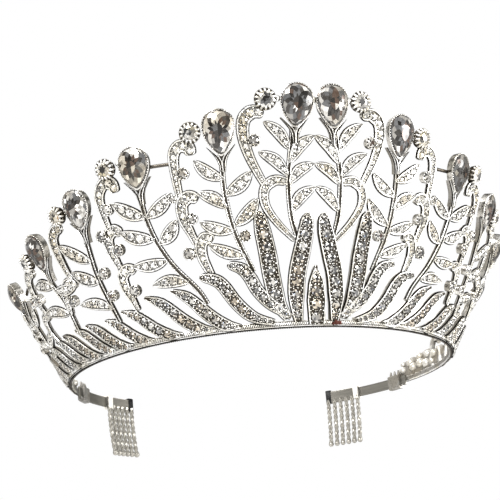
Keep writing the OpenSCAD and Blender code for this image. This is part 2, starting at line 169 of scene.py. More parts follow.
# width of the band, points from the curl to the foot
SCROLLS = [
    (4.2, [(10, 65.6), (12.2, 66.2), (14, 63.8), (14.3, 58.5), (13.2, 51.6), (10.6, 43.2)]),
    (4, [(24.9, 55), (25.2, 57.6), (27, 58.2), (28.3, 55.6), (28.6, 49), (28.4, 41.5)]),
    (4, [(24.8, 41.4), (26.6, 42.6), (28.3, 40.6), (28.4, 36), (27.5, 32), (26.6, 28)]),
    (3.9, [(22.9, 28.4), (24.3, 29.4), (25.6, 27.6), (25.7, 23.8), (24.7, 19.4), (23.8, 16.6)]),
    (4, [(41.4, 48.8), (41.6, 51.6), (43.2, 52.5), (44.9, 49.6), (45.3, 44.5), (45, 38)]),
    (3.9, [(42.6, 36.2), (44.2, 37.8), (46, 35.8), (46.2, 31.8), (45.7, 28), (45, 24)]),
    (3.8, [(41.8, 24), (43.7, 24.8), (45.4, 22.8), (45.4, 18.8), (44.7, 15.6), (44, 11.5)]),
    (3.9, [(56.4, 44), (58, 44.4), (59.6, 42), (60.1, 37), (59.9, 32), (59.4, 27.5)]),
    (3.6, [(58.9, 25.2), (60.3, 27), (62.3, 26.8), (63.8, 24), (64.3, 20.6), (65, 17.5)]),
    (3.8, [(71.2, 36), (73, 36.6), (75, 34.8), (75.9, 31), (75.9, 26), (75, 20.4)]),
    (3.4, [(75, 20.6), (76.6, 21.8), (78.2, 20.4), (78.7, 17.4), (78.1, 14.4), (77, 11.5)]),
    (3.4, [(91.4, 30), (93, 29.6), (94.4, 27.2), (94.7, 23.8), (93.9, 19.6), (92.6, 15.5)]),
    (3.2, [(97, 22.2), (98.6, 22.2), (100, 20.2), (100.4, 17), (99.7, 13.6), (98.6, 11)]),
    (3.3, [(6, 44.4), (8.6, 44.9), (10.8, 42.4), (10.8, 37.2), (8.2, 31.4), (4.6, 26.2)]),
]
# around, up, width of a small round stone beside a curl
GEMS = [
    (12.3, 57.4, 3.6),
    (27, 49.8, 3.6),
    (26.7, 35.8, 3.5),
    (29.9, 42.8, 2.4),
    (28.3, 25.4, 3.8),
    (15.7, 28.6, 3.4),
    (44, 44.4, 3.5),
    (44.3, 31.4, 3.6),
    (47.1, 37, 3.6),
    (43.3, 17.8, 3.6),
    (49.5, 18.3, 3.4),
    (49.8, 25.8, 3.6),
    (62, 21.2, 3.6),
    (74.4, 27.6, 3.6),
    (77.6, 28.4, 3.6),
    (92.2, 21.2, 3.4),
    (98.1, 17.2, 3.2),
]
# width, points from the foot to the point
TALL_BLADES = [
    (5.8, [(4.6, 1.6), (5, 8), (4.6, 15.5), (3.4, 22.5), (2.3, 29), (1.8, 34.6)]),
    (5.8, [(7.2, 2.6), (9.4, 7.6), (10.5, 15), (11.1, 22.5), (11.9, 30), (12.4, 35.8)]),
    (4.3, [(6.4, 3), (10.6, 6.6), (13.9, 11.4), (15.6, 16), (17.4, 18.9), (20.4, 20.4)]),
    (4.4, [(10.6, 1.6), (15.6, 3.8), (19.2, 8.4), (22, 14.4), (24, 16.6), (27, 17.8)]),
]
CENTRE_LEAF = (6.4, [(0, 0.6), (0, 7.5), (0, 13), (0, 18.6)])
# foot around, point around, point up, width
LOW_BLADES = [
    (18.5, 34.4, 15.4, 4.5),
    (25, 41.4, 15, 4.5),
    (33.5, 48.6, 12.6, 4.3),
    (41.8, 54.6, 11.4, 4.2),
    (48.4, 61.4, 12.2, 4.1),
    (54.2, 66.6, 12.4, 4),
    (60, 72.8, 12.8, 4),
    (66, 78.8, 12.8, 3.9),
    (72, 84.8, 12.8, 3.8),
    (78, 90.6, 12.6, 3.7),
    (84, 96.2, 12.2, 3.6),
    (90, 101.4, 11.4, 3.5),
    (95.6, 106, 10.2, 3.3),
]
# from around and up, to around and up
LINKS = [(29, 53.4, 33.4, 53.8), (76, 34, 80, 32.4), (87, 34.4, 91.8, 30.2), (94.4, 27.6, 97.6, 22.6)]
# solder balls between neighbours: around, up, width
SOLDER_BALLS = [(0, 69.6, 2), (7.2, 70, 2), (21.6, 63.4, 1.6), (39.4, 57.2, 1.6), (53.4, 48.6, 1.5),
                (68.2, 40.8, 1.5)]
# a lump of solder on the rim right of the centre, gone brown: around, up, width
TARNISHED_LUMP = [(5.2, 0.7, 1.8), (6.1, 0.6, 1.4), (5.8, 1.6, 1.2), (4.4, 0.3, 1.1)]
# discs that make up the rounded ends: around, up, width
END_LOBES = [(94.2, 6.3, 12), (101.6, 6.6, 13), (108.6, 5.8, 11.4)]
# bumps on the inner face of the rounded ends: around, up, width
END_BUMPS = [(95, 8.4, 3.6), (97.8, 4.6, 4), (99.4, 9.6, 3.2), (101.8, 6, 4.2), (104, 10, 3.2),
             (105.4, 5.2, 4), (108, 8.2, 4), (110.6, 5, 3.6), (111.6, 8.4, 2.4), (96.4, 1.4, 1.3),
             (99.2, 1.2, 1.2), (102.2, 1.2, 1.4), (105, 1.1, 1.2), (107.6, 1.3, 1.3), (94.2, 4.4, 2.6)]
# edge of the calyx of a drop stone, from the stem to the tip: outer x, outer y, inner x, inner y
CALYX = [(0.85, -4.8, 0, -4.8), (1.05, -3.2, 0, -3.2), (1.45, -1.6, 0, -1.8), (2.2, 0, 0.5, -0.5),
         (3.2, 1.4, 1.9, 0.9), (4.5, 3.1, 4.4, 3.2)]
# rings of facets of the cut stones, from the table out: share of the width, height
PEAR_ROWS = [(0.3, 1.78), (0.5, 1.6), (0.68, 1.25), (0.84, 0.8), (0.93, 0.45)]
ROUND_ROWS = [(0.34, 0.9), (0.6, 0.74), (0.82, 0.44)]
# how dark the painted reflection in the middle of each drop stone is, from the front round
GLOOM = {"left": [0.9, 0.5, 0.5, 0.5, 1, 1], "right": [0.7, 1, 0.9, 0.8, 0.8, 0.8]}
ROUND_GLOOM = 0.1
TABLE_PARTS = 4
# the most that chance adds to the painted reflection of a small facet
TONE_LUCK = 0.55


# the flared wall

def lean(around):
    """How far the wall leans out at an angle from the front, in radians."""
    return math.radians(FLARE_FRONT + (FLARE_SIDE - FLARE_FRONT) * math.sin(math.radians(around)) ** 2)


def wall(around, up, out, side=1):
    """A point of the wall in metres: degrees round from the front, mm up it, mm out of it."""
    a, f = math.radians(around), lean(around)
    r = RIM_R + up * math.sin(f) + out * math.cos(f)
    return Vector((side * r * math.sin(a), -r * math.cos(a), up * math.cos(f) - out * math.sin(f))) * MM


def wall_axes(around, side=1):
    """Unit vectors along the wall, up it and out of it."""
    a, f = math.radians(around), lean(around)
    along = Vector((side * math.cos(a), math.sin(a), 0))
    up = Vector((side * math.sin(f) * math.sin(a), -math.sin(f) * math.cos(a), math.cos(f)))
    out = Vector((side * math.cos(f) * math.sin(a), -math.cos(f) * math.cos(a), -math.sin(f)))
    return along, up, out


def reach(around, up):
    """Distance of a point of the wall from the axis of the rim, in mm."""
    return RIM_R + up * math.sin(lean(around))


def on_path(path, t):
    """A smooth line through the points of a path, t from 0 to 1."""
    last = len(path) - 1
    x = min(max(t, 0), 1) * last
    i = min(int(x), last - 1)
    f = x - i
    a, b, c, d = path[max(i - 1, 0)], path[i], path[i + 1], path[min(i + 2, last)]
    return tuple(
        (2 * b[k] + (c[k] - a[k]) * f + (2 * a[k] - 5 * b[k] + 4 * c[k] - d[k]) * f * f
         + (3 * b[k] - a[k] - 3 * c[k] + d[k]) * f ** 3) / 2
        for k in (0, 1))


def heading(path, t):
    """Unit direction of a path in mm along and up the wall."""
    a, b = on_path(path, max(t - 0.02, 0)), on_path(path, min(t + 0.02, 1))
    du = math.radians(b[0] - a[0]) * reach(*a)
    dv = b[1] - a[1]
    n = math.hypot(du, dv)
    return du / n, dv / n


def aside(path, t, mm):
    """The point mm to the left of a path, as degrees round and mm up."""
    p, (du, dv) = on_path(path, t), heading(path, t)
    return p[0] - math.degrees(dv * mm / reach(*p)), p[1] + du * mm


def share(form, t):
    """How full a piece is at t, straight between the rows of its form."""
    for (t0, v0), (t1, v1) in zip(form, form[1:]):
        if t <= t1:
            e = (t - t0) / (t1 - t0)
            return v0 + (v1 - v0) * e
    return form[-1][1]


blade_form = functools.partial(share, [(0, 0.2), (0.25, 0.95), (0.55, 1), (0.8, 0.85), (1, 0.2)])
tall_form = functools.partial(share, [(0, 0.5), (0.25, 0.95), (0.55, 1), (0.8, 0.92), (0.93, 0.7), (1, 0.25)])
centre_form = functools.partial(share, [(0, 0.8), (0.35, 1), (0.7, 0.8), (1, 0.1)])
band_form = functools.partial(share, [(0, 0.75), (0.25, 1), (0.55, 0.85), (1, 0.5)])


def leaf_form(t):
    """A pointed leaf with a short stalk at its foot."""
    t = min(max(t, 0), 1)
    return max(0.12, 0.22 * (1 - t / 0.1) if t < 0.1 else 0, math.sin(math.pi * t) ** 0.72)


def scroll_form(t):
    """A band with a rounded curl end and foot."""
    cap = min(t / 0.07, (1 - t) / 0.04, 1)
    return band_form(t) * math.sqrt(max(0.03, 1 - (1 - cap) ** 2))


def stem_form(t):
    """A stem swells into the calyx at its top."""
    return 1 + 0.7 * max(0.0, 1 - t / 0.14) ** 1.5 - 0.1 * t


def leaf_path(leaf):
    """Foot, bowed middle and point of a leaf."""
    a0, s0, a1, s1, _, bow = leaf
    du = math.radians(a1 - a0) * reach(a0, s0)
    dv = s1 - s0
    n = math.hypot(du, dv)
    mid = ((a0 + a1) / 2 - math.degrees(dv / n * bow / reach(a0, s0)), (s0 + s1) / 2 + du / n * bow)
    return [(a0, s0), mid, (a1, s1)]


def low_path(foot, point, point_up):
    """A low blade leaves the rim flat, rises, and flattens again at its point."""
    rows = []
    for t in (0, 0.25, 0.5, 0.75, 1):
        e = t ** 1.35
        rows.append((foot + (point - foot) * t,
                     LOW_BLADE_FOOT_UP + (point_up - LOW_BLADE_FOOT_UP) * e * e * (3 - 2 * e)))
    return rows


# a channel of the casting: its path, width, form, number of sections, back and front of the metal, edge wire
Band = collections.namedtuple("Band", "path width form parts back front wire")


def low_band(i, blade):
    """Every second low blade lies a little further back."""
    drop = 0.3 * (i % 2)
    return Band(low_path(*blade[:3]), blade[3], blade_form, 22, BACK - drop, BLADE_FRONT - drop, BLADE_WIRE)


stem_bands = [Band(path, STEM_W, stem_form, 34, BACK + 0.25, FRONT + 0.1, RIM_WIRE) for path in STEMS]
leaf_bands = [Band(leaf_path(leaf), leaf[4] * FULLER, leaf_form, 16, BACK + 0.45, FRONT + 0.25, RIM_WIRE)
              for leaf in LEAVES]
scroll_bands = [Band(path, width * FULLER, scroll_form, 40, BACK, FRONT, RIM_WIRE) for width, path in SCROLLS]
tall_bands = [Band(path, width, tall_form, 26, BACK - 0.5, TALL_FRONT, BLADE_WIRE)
              for width, path in TALL_BLADES]
low_bands = [low_band(i, blade) for i, blade in enumerate(LOW_BLADES)]
centre_band = Band(CENTRE_LEAF[1], CENTRE_LEAF[0], centre_form, 20, BACK - 0.5, TALL_FRONT, BLADE_WIRE)


# mesh helpers

CREASE = math.radians(50)


def turns(count):
    """Even angles round a full turn."""
    return [2 * math.pi * i / count for i in range(count)]


def add_object(name, data):
    item = bpy.data.objects.new(name, data)
    bpy.context.collection.objects.link(item)
    return item


def finish_mesh(name, bm, materials, smooth=True):
    """Closes a bmesh into an object with outward faces; a smooth one keeps its sharp edges."""
    bmesh.ops.recalc_face_normals(bm, faces=bm.faces)
    for face in bm.faces:
        face.smooth = smooth
    for edge in bm.edges:
        if smooth and len(edge.link_faces) == 2:
            edge.smooth = edge.calc_face_angle(0) < CREASE
    mesh = bpy.data.meshes.new(name)
    bm.to_mesh(mesh)
    bm.free()
    for material in materials:
        mesh.materials.append(material)
    return add_object(name, mesh)


def keep_tones(piece, name, tones):
    """Stores a tone for every face: the painted reflection of a crystal facet."""
    kept = piece.data.attributes.new(name, "FLOAT", "FACE")
    for item, value in zip(kept.data, tones):
        item.value = value


def loft(bm, rings, slot=TOP, caps=None, slots=None):
    """Joins rings of points into one closed body; slots gives other finishes to single sides."""
    rows = [[bm.verts.new(p) for p in ring] for ring in rings]
    for a, b in zip(rows, rows[1:]):
        for j in range(len(a)):
            k = (j + 1) % len(a)
            bm.faces.new((a[j], a[k], b[k], b[j])).material_index = (slots or {}).get(j, slot)
    for row, cap in zip((rows[0][::-1], rows[-1]), caps or (slot, slot)):
        bm.faces.new(row).material_index = cap


def channel_section(h, band):
    """Half of a channel's section: side wall, bevel, rounded wire and the inner wall down to the floor."""
    w = min(band.wire, h * 0.4)
    inner = h - min(EDGE_BEVEL, h * 0.2)
    high = band.front
    return [(h * 0.86, band.back + 0.4), (h, high - 0.7), (inner, high - 0.25),
            (inner - 0.14 * w, high - 0.05), (inner - 0.5 * w, high), (inner - 0.86 * w, high - 0.08),
            (inner - w, high - min(RECESS, h * 0.45))]


CHANNEL_SLOTS = {0: CAST, 1: CAST, 2: BEVEL, 6: FLOOR, 7: FLOOR, 8: FLOOR, 12: BEVEL, 13: CAST, 14: CAST,
                 15: CAST}


def channel(bm, band, side):
    """A band with a bevel painted dark as shade and a raised wire along each edge, and a sunk floor for the
    stones, darker with oxide and painted shade.
    """
    rings = []
    for i in range(band.parts + 1):
        t = (1 - math.cos(math.pi * i / band.parts)) / 2
        h = band.width / 2 * band.form(t)
        half = [(h * 0.6, band.back)] + channel_section(h, band)
        section = half + [(-x, z) for x, z in reversed(half)]
        rings.append([wall(*aside(band.path, t, across), out, side) for across, out in section])
    loft(bm, rings, slots=CHANNEL_SLOTS)


def rod(bm, path, half, parts, side, slot):
    """A bar along a path, a little flatter than wide."""
    rings = []
    for i in range(parts + 1):
        rings.append([wall(*aside(path, i / parts, half * math.cos(a)), 0.8 * half * math.sin(a), side)
                      for a in turns(10)])
    loft(bm, rings, slot)


def wire(bm, points, radius, sides, slot, taper=0.0):
    """A round wire through points in metres; radius in mm, thinner by the taper at its end."""
    rings = []
    last = len(points) - 1
    normal = None
    for i, p in enumerate(points):
        ahead = (points[min(i + 1, last)] - points[max(i - 1, 0)]).normalized()
        if normal is None:
            normal = ahead.orthogonal().normalized()
        normal = (normal - ahead * normal.dot(ahead)).normalized()
        across = ahead.cross(normal)
        r = radius * (1 - taper * (i / last)) * MM
        rings.append([p + (normal * math.cos(a) + across * math.sin(a)) * r for a in turns(sides)])
    loft(bm, rings, slot)


def ball(bm, centre, width, segments=12, slot=TOP):
    """A ball at a place in metres; width in mm."""
    made = bmesh.ops.create_uvsphere(bm, u_segments=segments, v_segments=segments // 2 + 1,
                                     radius=width / 2 * MM, matrix=Matrix.Translation(centre))
    for face in {f for v in made["verts"] for f in v.link_faces}:
        face.material_index = slot


def placed(around, up, out, side, points):
    """Local x, y, z in mm at a place on the wall, as points in metres."""
    along, rise, away = wall_axes(around, side)
    base = wall(around, up, out, side)
    return [base + (along * x + rise * y + away * z) * MM for x, y, z in points]


def outlines(around, up, side, levels):
    """Rings of points on the wall from outlines in mm, each with its own height out of it."""
    return [placed(around, up, 0, side, [(x, y, z) for x, y in outline]) for outline, z in levels]


def drop_outline(width, length, turn, count):
    """Outline of a drop, round at the top and pointed below, as evenly spaced points from the tip."""
    r = width / 2
    tail = length - r
    fine = []
    for a in turns(240):
        x, y = -math.sin(a), -math.cos(a)
        if y >= 0:
            fine.append((r * x, r * y))
        else:
            fine.append((r * x * (1 - 0.36 * (-y) ** 2.4), tail * y * (1 - 0.05 * abs(x))))
    steps = [0.0]
    for a, b in zip(fine, fine[1:] + fine[:1]):
        steps.append(steps[-1] + math.hypot(b[0] - a[0], b[1] - a[1]))
    points = []
    k = 0
    for i in range(count):
        due = steps[-1] * i / count
        while steps[k + 1] < due:
            k += 1
        f = (due - steps[k]) / (steps[k + 1] - steps[k])
        a, b = fine[k], fine[(k + 1) % len(fine)]
        points.append((a[0] + (b[0] - a[0]) * f, a[1] + (b[1] - a[1]) * f))
    c, s = math.cos(math.radians(turn)), math.sin(math.radians(turn))
    return [(x * c - y * s, x * s + y * c) for x, y in points]


def round_outline(radius, count):
    return [(radius * math.sin(a), radius * math.cos(a)) for a in turns(count)]


# finishes

# tones for the painted reflections and glints of the crystal facets, and warm tints for their patches
INK = (0.02, 0.018, 0.016)
BROWN = (0.10, 0.068, 0.052)
SMOKE = (0.055, 0.05, 0.045)
SLATE = (0.13, 0.13, 0.13)
GREY = (0.33, 0.315, 0.29)
SILVER = (0.62, 0.60, 0.56)
PALE = (0.96, 0.94, 0.895)
CREAM = (0.86, 0.80, 0.62)
WARM_LIGHT = (0.84, 0.79, 0.70)
AMBER = (0.50, 0.30, 0.13)
BRASSY = (0.92, 0.82, 0.69)
ICE = (0.58, 0.66, 0.84)
IVORY = (0.89, 0.86, 0.76)
PEACH = (0.60, 0.33, 0.23)
# grain of the finishes, in waves to the metre
MOTTLE = 1500
GRAIN = 1300
PATCHES = 170
TINTS = 75
WEAR = 800


def set_inputs(tree, node, inputs):
    """Sets each input of a node to a value or to another node's output."""
    for name, value in inputs.items():
        if isinstance(value, bpy.types.NodeSocket):
            tree.links.new(value, node.inputs[name])
        else:
            node.inputs[name].default_value = value
    return node


def add_node(tree, kind, inputs, **settings):
    node = tree.nodes.new(kind)
    for name, value in settings.items():
        setattr(node, name, value)
    return set_inputs(tree, node, inputs)


def new_material(name):
    """A material with its node tree, its shader and the place on the object."""
    material = bpy.data.materials.new(name)
    material.use_nodes = True
    tree = material.node_tree
    place = tree.nodes.new("ShaderNodeTexCoord").outputs["Object"]
    return material, tree, tree.nodes["Principled BSDF"], place


def ramp(tree, value, stops, constant=False):
    """Colours or greys for a value, from stops of position and colour."""
    node = add_node(tree, "ShaderNodeValToRGB", {"Fac": value})
    colours = node.color_ramp
    if constant:
        colours.interpolation = "CONSTANT"
    while len(colours.elements) < len(stops):
        colours.elements.new(0.5)
    for element, (position, colour) in zip(colours.elements, stops):
        element.position = position
        element.color = (*colour, 1) if isinstance(colour, tuple) else (colour, colour, colour, 1)
    return node.outputs["Color"]


def noise(tree, place, scale, detail):
    return add_node(tree, "ShaderNodeTexNoise", {
        "Scale": scale, "Detail": detail, "Vector": place}).outputs["Fac"]


def multiplied(tree, first, second, amount=1.0):
    return add_node(tree, "ShaderNodeMix", {"Factor": amount, "A": first, "B": second},
                    data_type="RGBA", blend_type="MULTIPLY").outputs["Result"]


def spread(tree, value, low, high):
    """Spreads a value from 0 to 1 between two limits."""
    return add_node(tree, "ShaderNodeMapRange", {
        "To Min": low, "To Max": high, "Value": value}).outputs["Result"]


def bumped(tree, height, strength, distance):
    return add_node(tree, "ShaderNodeBump", {
        "Strength": strength, "Distance": distance, "Height": height}).outputs["Normal"]


def plated_silver(name, light, grazing, patches, shade_reach, recess_painted_shade, rough, metallic=1.0, fleck=0.5):
    """Plated casting: mottled plate, dull patches, painted shade in recesses from occlusion and a set tint
    for grazing light.
    """
    material, tree, shader, place = new_material(name)
    mottle = noise(tree, place, MOTTLE, 3)
    speckle = ramp(tree, mottle, [(0.36, tuple(c * fleck for c in light)), (0.46, light)])
    dull = ramp(tree, noise(tree, place, PATCHES, 2), [
        (0.40, (patches, patches * 0.97, patches * 0.9)), (0.56, 1.0)])
    # painted shade: occlusion darkens the colour in recesses and between parts
    recess = add_node(tree, "ShaderNodeAmbientOcclusion", {"Distance": shade_reach * MM}, samples=6)
    depth = ramp(tree, recess.outputs["AO"], [(0.15, recess_painted_shade), (0.75, 1.0)])
    set_inputs(tree, shader, {
        "Metallic": metallic,
        "Specular IOR Level": 0.5 * metallic,
        "Specular Tint": (grazing, grazing, grazing, 1),
        "Base Color": multiplied(tree, multiplied(tree, speckle, dull), depth),
        "Roughness": spread(tree, mottle, rough * 0.7, rough * 1.5),
        "Normal": bumped(tree, noise(tree, place, GRAIN, 3), 0.4, 0.0001)})
    return material


def foiled_crystal(name, stops, rough, fire=0.8, metallic=0.7, coat=0.8, warmth=WARM_LIGHT):
    """Foil-backed crystal: every facet's tone is a painted reflection, with painted glints (sparks) and
    warmer patches.
    """
    material, tree, shader, place = new_material(name)
    tone = add_node(tree, "ShaderNodeAttribute", {}, attribute_name="facet_tone")
    facets = ramp(tree, tone.outputs["Fac"], stops, constant=True)
    cells = add_node(tree, "ShaderNodeTexVoronoi", {"Scale": GRAIN, "Vector": place})
    # painted glints: small bright points, mixed in by the amount fire
    sparks = ramp(tree, cells.outputs["Distance"], [(0.0, 1.0), (0.55, 0.62)])
    warm = ramp(tree, noise(tree, place, TINTS, 2), [(0.42, warmth), (0.50, (1, 1, 1))])
    set_inputs(tree, shader, {
        "Metallic": metallic,
        "Coat Weight": coat,
        "Coat Roughness": 0.02,
        "Base Color": multiplied(tree, multiplied(tree, facets, sparks, fire), warm),
        "Roughness": spread(tree, noise(tree, place, WEAR, 2), rough * 0.6, rough * 1.6)})
    return material


def drawn_steel(name, colour, dark, stretch, rough, metallic=0.85, grazing=0.35):
    """Rolled or drawn metal, or thread, with fine lines along it."""
    material, tree, shader, place = new_material(name)
    turn = add_node(tree, "ShaderNodeMapping", {"Scale": stretch, "Vector": place})
    fine = noise(tree, turn.outputs["Vector"], 1, 6)
    set_inputs(tree, shader, {
        "Metallic": metallic,
        "Specular Tint": (grazing, grazing, grazing, 1),
        "Base Color": ramp(tree, fine, [(0.35, dark), (0.65, colour)]),
        "Roughness": spread(tree, fine, rough * 0.8, rough * 1.2),
        "Normal": bumped(tree, fine, 0.2, 0.00005)})
    return material


# colour, tint of grazing light, dull patches, reach and darkness of the painted shade in recesses, roughness,
# metallic, flecks
bright_silver = plated_silver("bright_silver", (0.99, 0.98, 0.955), 0.12, 0.85, 0.5, 0.35, 0.36)
blade_edge = plated_silver("blade_edge", (0.88, 0.865, 0.83), 0.1, 0.75, 0.5, 0.3, 0.3)
stem_silver = plated_silver("stem_silver", (0.80, 0.775, 0.73), 0.08, 0.5, 0.6, 0.2, 0.22)
# near-black beads of the line under the rim: painted shade on the rim's underside
rim_line_painted_shade = plated_silver("rim_line_painted_shade", (0.14, 0.13, 0.12), 0.3, 0.7, 0.5, 0.25, 0.3)
# floors, hollows, link bars and round cups darker than the tops: partly oxide, partly painted shade
leaf_floor_oxide_and_shade = plated_silver("leaf_floor_oxide_and_shade", (0.44, 0.43, 0.41), 0.2, 0.7, 0.8, 0.12, 0.35)
blade_floor_oxide_and_shade = plated_silver("blade_floor_oxide_and_shade", (0.11, 0.098, 0.082), 0.2, 0.6, 0.6, 0.2, 0.35)
# near-black bevels beside the wires: painted shade as a dark outline
bevel_painted_shade = plated_silver("bevel_painted_shade", (0.018, 0.016, 0.014), 0.3, 0.6, 0.6, 0.4, 0.4, 0.8)
cast_back = plated_silver("cast_back", (0.36, 0.345, 0.32), 0.3, 0.8, 1.2, 0.35, 0.34, 0.65, 0.6)
end_satin = plated_silver("end_satin", (0.235, 0.215, 0.185), 0.2, 0.85, 2.0, 0.35, 0.5, 0.1, 0.8)
# bumps of the cast ends, far lighter than the plate they are cast with: painted highlight
end_bump_highlight = plated_silver("end_bump_highlight", (0.66, 0.635, 0.585), 0.5, 0.9, 1.6, 0.35, 0.3, 0.45, 0.85)
brown_solder = plated_silver("brown_solder", (0.10, 0.038, 0.03), 0.3, 0.6, 0.6, 0.3, 0.5, 0.3, 0.4)
# tones of the painted facet reflections and glints, from the lowest on
leaf_crystal = foiled_crystal("leaf_crystal", [
    (0, INK), (0.04, SLATE), (0.12, GREY), (0.22, SILVER), (0.33, PALE), (0.88, IVORY), (0.97, ICE)],
    rough=0.14, fire=0.4)
scroll_crystal = foiled_crystal("scroll_crystal", [
    (0, INK), (0.06, SLATE), (0.14, GREY), (0.25, SILVER), (0.36, PALE), (0.68, CREAM), (0.84, IVORY),
    (0.97, ICE)], rough=0.14, fire=0.4)
blade_crystal = foiled_crystal("blade_crystal", [
    (0, INK), (0.24, SLATE), (0.40, GREY), (0.52, SILVER), (0.62, PALE), (0.88, IVORY), (0.93, ICE),
    (0.95, PEACH), (0.98, AMBER)], rough=0.1, fire=0.5, warmth=BRASSY)
drop_crystal = foiled_crystal("drop_crystal", [
    (0, INK), (0.11, BROWN), (0.17, SMOKE), (0.27, SLATE), (0.38, GREY), (0.56, SILVER), (0.76, PALE),
    (0.93, ICE), (0.955, IVORY), (0.98, PEACH)], rough=0.16, fire=0.3, metallic=0.3, coat=0.1)
round_crystal = foiled_crystal("round_crystal", [
    (0, INK), (0.16, SLATE), (0.30, GREY), (0.42, CREAM), (0.50, SILVER), (0.68, PALE), (0.94, AMBER)],
    rough=0.08)
curl_crystal = foiled_crystal("curl_crystal", [
    (0, INK), (0.14, BROWN), (0.24, SLATE), (0.38, GREY), (0.52, SILVER), (0.68, PALE), (0.90, CREAM),
    (0.95, AMBER)], rough=0.1, fire=0.5)
# light and dark of the lines, lines to the metre, roughness, metallic, tint of grazing light
strip_steel = drawn_steel("strip_steel", (0.26, 0.25, 0.22), (0.20, 0.19, 0.17), (60, 60, 2600), 0.42)
comb_wire = drawn_steel("comb_wire", (0.50, 0.48, 0.43), (0.26, 0.245, 0.22), (2400, 2400, 160),
                        0.32, 0.6, 0.2)
comb_bar = drawn_steel("comb_bar", (0.28, 0.265, 0.235), (0.22, 0.21, 0.185), (60, 60, 2600), 0.4)
pale_thread = drawn_steel("pale_thread", (0.86, 0.83, 0.77), (0.70, 0.67, 0.62), (900, 900, 4000),
                          0.6, 0.0, 0.6)
dark_thread = drawn_steel("dark_thread", (0.05, 0.05, 0.05), (0.02, 0.02, 0.02), (900, 900, 4000), 0.5)


# stones, claws and beads set out by geometry nodes

def node_tree(name, sockets):
    """A geometry tree with named inputs; returns it with its end nodes."""
    tree = bpy.data.node_groups.new(name, "GeometryNodeTree")
    tree.is_modifier = True
    tree.interface.new_socket(name="Geometry", in_out="INPUT", socket_type="NodeSocketGeometry")
    for label, kind in sockets.items():
        tree.interface.new_socket(name=label, in_out="INPUT", socket_type=f"NodeSocket{kind}")
    tree.interface.new_socket(name="Geometry", in_out="OUTPUT", socket_type="NodeSocketGeometry")
    return tree, tree.nodes.new("NodeGroupInput"), tree.nodes.new("NodeGroupOutput")


def attribute_node(tree, name, kind):
    node = add_node(tree, "GeometryNodeInputNamedAttribute", {"Name": name}, data_type=kind)
    return node.outputs["Attribute"]


def setting_out(tree, entry, leave, shape, smooth):
    """Puts a copy of shape on every seat, turned and sized by the seat's own values."""
    shade = add_node(tree, "GeometryNodeSetShadeSmooth", {"Geometry": shape, "Shade Smooth": smooth})
    turn = add_node(tree, "FunctionNodeEulerToRotation", {
        "Euler": attribute_node(tree, "aim", "FLOAT_VECTOR")})
    lay = add_node(tree, "GeometryNodeInstanceOnPoints", {
        "Points": entry.outputs["Geometry"],
        "Instance": shade.outputs["Geometry"],
        "Rotation": turn.outputs["Rotation"],
        "Scale": attribute_node(tree, "size", "FLOAT_VECTOR")})
    real = add_node(tree, "GeometryNodeRealizeInstances", {"Geometry": lay.outputs["Instances"]})
    # painted facet reflections: the pattern's own tone plus a random share for every face
    luck = add_node(tree, "FunctionNodeRandomValue", {
        3: TONE_LUCK,
        "Seed": entry.outputs["Tone Seed"]}, data_type="FLOAT")
    tone = add_node(tree, "ShaderNodeMath", {
        0: luck.outputs[1],
        1: attribute_node(tree, "cut_tone", "FLOAT")})
    keep = add_node(tree, "GeometryNodeStoreNamedAttribute", {
        "Name": "facet_tone",
        "Geometry": real.outputs["Geometry"],
        "Value": tone.outputs[0]}, data_type="FLOAT", domain="FACE")
    finish = add_node(tree, "GeometryNodeSetMaterial", {
        "Geometry": keep.outputs["Geometry"],
        "Material": entry.outputs["Finish"]})
    tree.links.new(finish.outputs["Geometry"], leave.inputs["Geometry"])


def cut_stone_tree():
    """Lays a cut stone, one unit wide, on every seat."""
    tree, entry, leave = node_tree("cut_stones", {
        "Stone": "Object", "Tone Seed": "Int", "Finish": "Material"})
    fetch = add_node(tree, "GeometryNodeObjectInfo", {"Object": entry.outputs["Stone"]})
    setting_out(tree, entry, leave, fetch.outputs["Geometry"], False)
    return tree


def bead_tree():
    """Lays a claw tip or a bead, one unit wide, on every seat."""
    tree, entry, leave = node_tree("beads", {"Smoothness": "Int", "Tone Seed": "Int", "Finish": "Material"})
    grain = add_node(tree, "GeometryNodeMeshIcoSphere", {
        "Radius": 0.5, "Subdivisions": entry.outputs["Smoothness"]})
    setting_out(tree, entry, leave, grain.outputs["Mesh"], True)
    return tree


def brilliant(name):
    """A small brilliant one unit wide whose star, kite and girdle facets carry painted reflections, light and
    dark by turns.
    """
    bm = bmesh.new()
    tones = []

    def ring(count, radius, z, phase):
        angles = [2 * math.pi * (i + phase) / count for i in range(count)]
        return [bm.verts.new((radius * math.sin(a), radius * math.cos(a), z)) for a in angles]

    def facet(points, tone):
        bm.faces.new(points)
        tones.append(tone)

    table, mid = ring(8, 0.21, 0.25, 0), ring(8, 0.33, 0.18, 0.5)
    girdle, foot = ring(16, 0.445, 0.05, 0), ring(16, 0.5, -0.06, 0)
    facet(table, 0.06)
    facet(list(reversed(foot)), 0)
    for i in range(8):
        j = (i + 1) % 8
        light = i % 2
        facet((table[i], table[j], mid[i]), 0.4 * light)
        facet((table[j], mid[i], girdle[2 * j], mid[j]), 0.3 - 0.45 * light)
        facet((mid[i], girdle[2 * i], girdle[2 * i + 1]), 0.4)
        facet((mid[i], girdle[2 * i + 1], girdle[2 * j]), 0.25)
    for i in range(16):
        j = (i + 1) % 16
        facet((girdle[i], girdle[j], foot[j], foot[i]), -1)
    piece = finish_mesh(name, bm, [])
    keep_tones(piece, "cut_tone", tones)
    return piece


def facing(along, up, out):
    """Turn that lays a shape's own x, y and z on three directions, as an Euler."""
    turn = Matrix((along, up, out)).transposed()
    if turn.determinant() < 0:
        turn = Matrix((-along, up, out)).transposed()
    return turn.to_euler("XYZ")


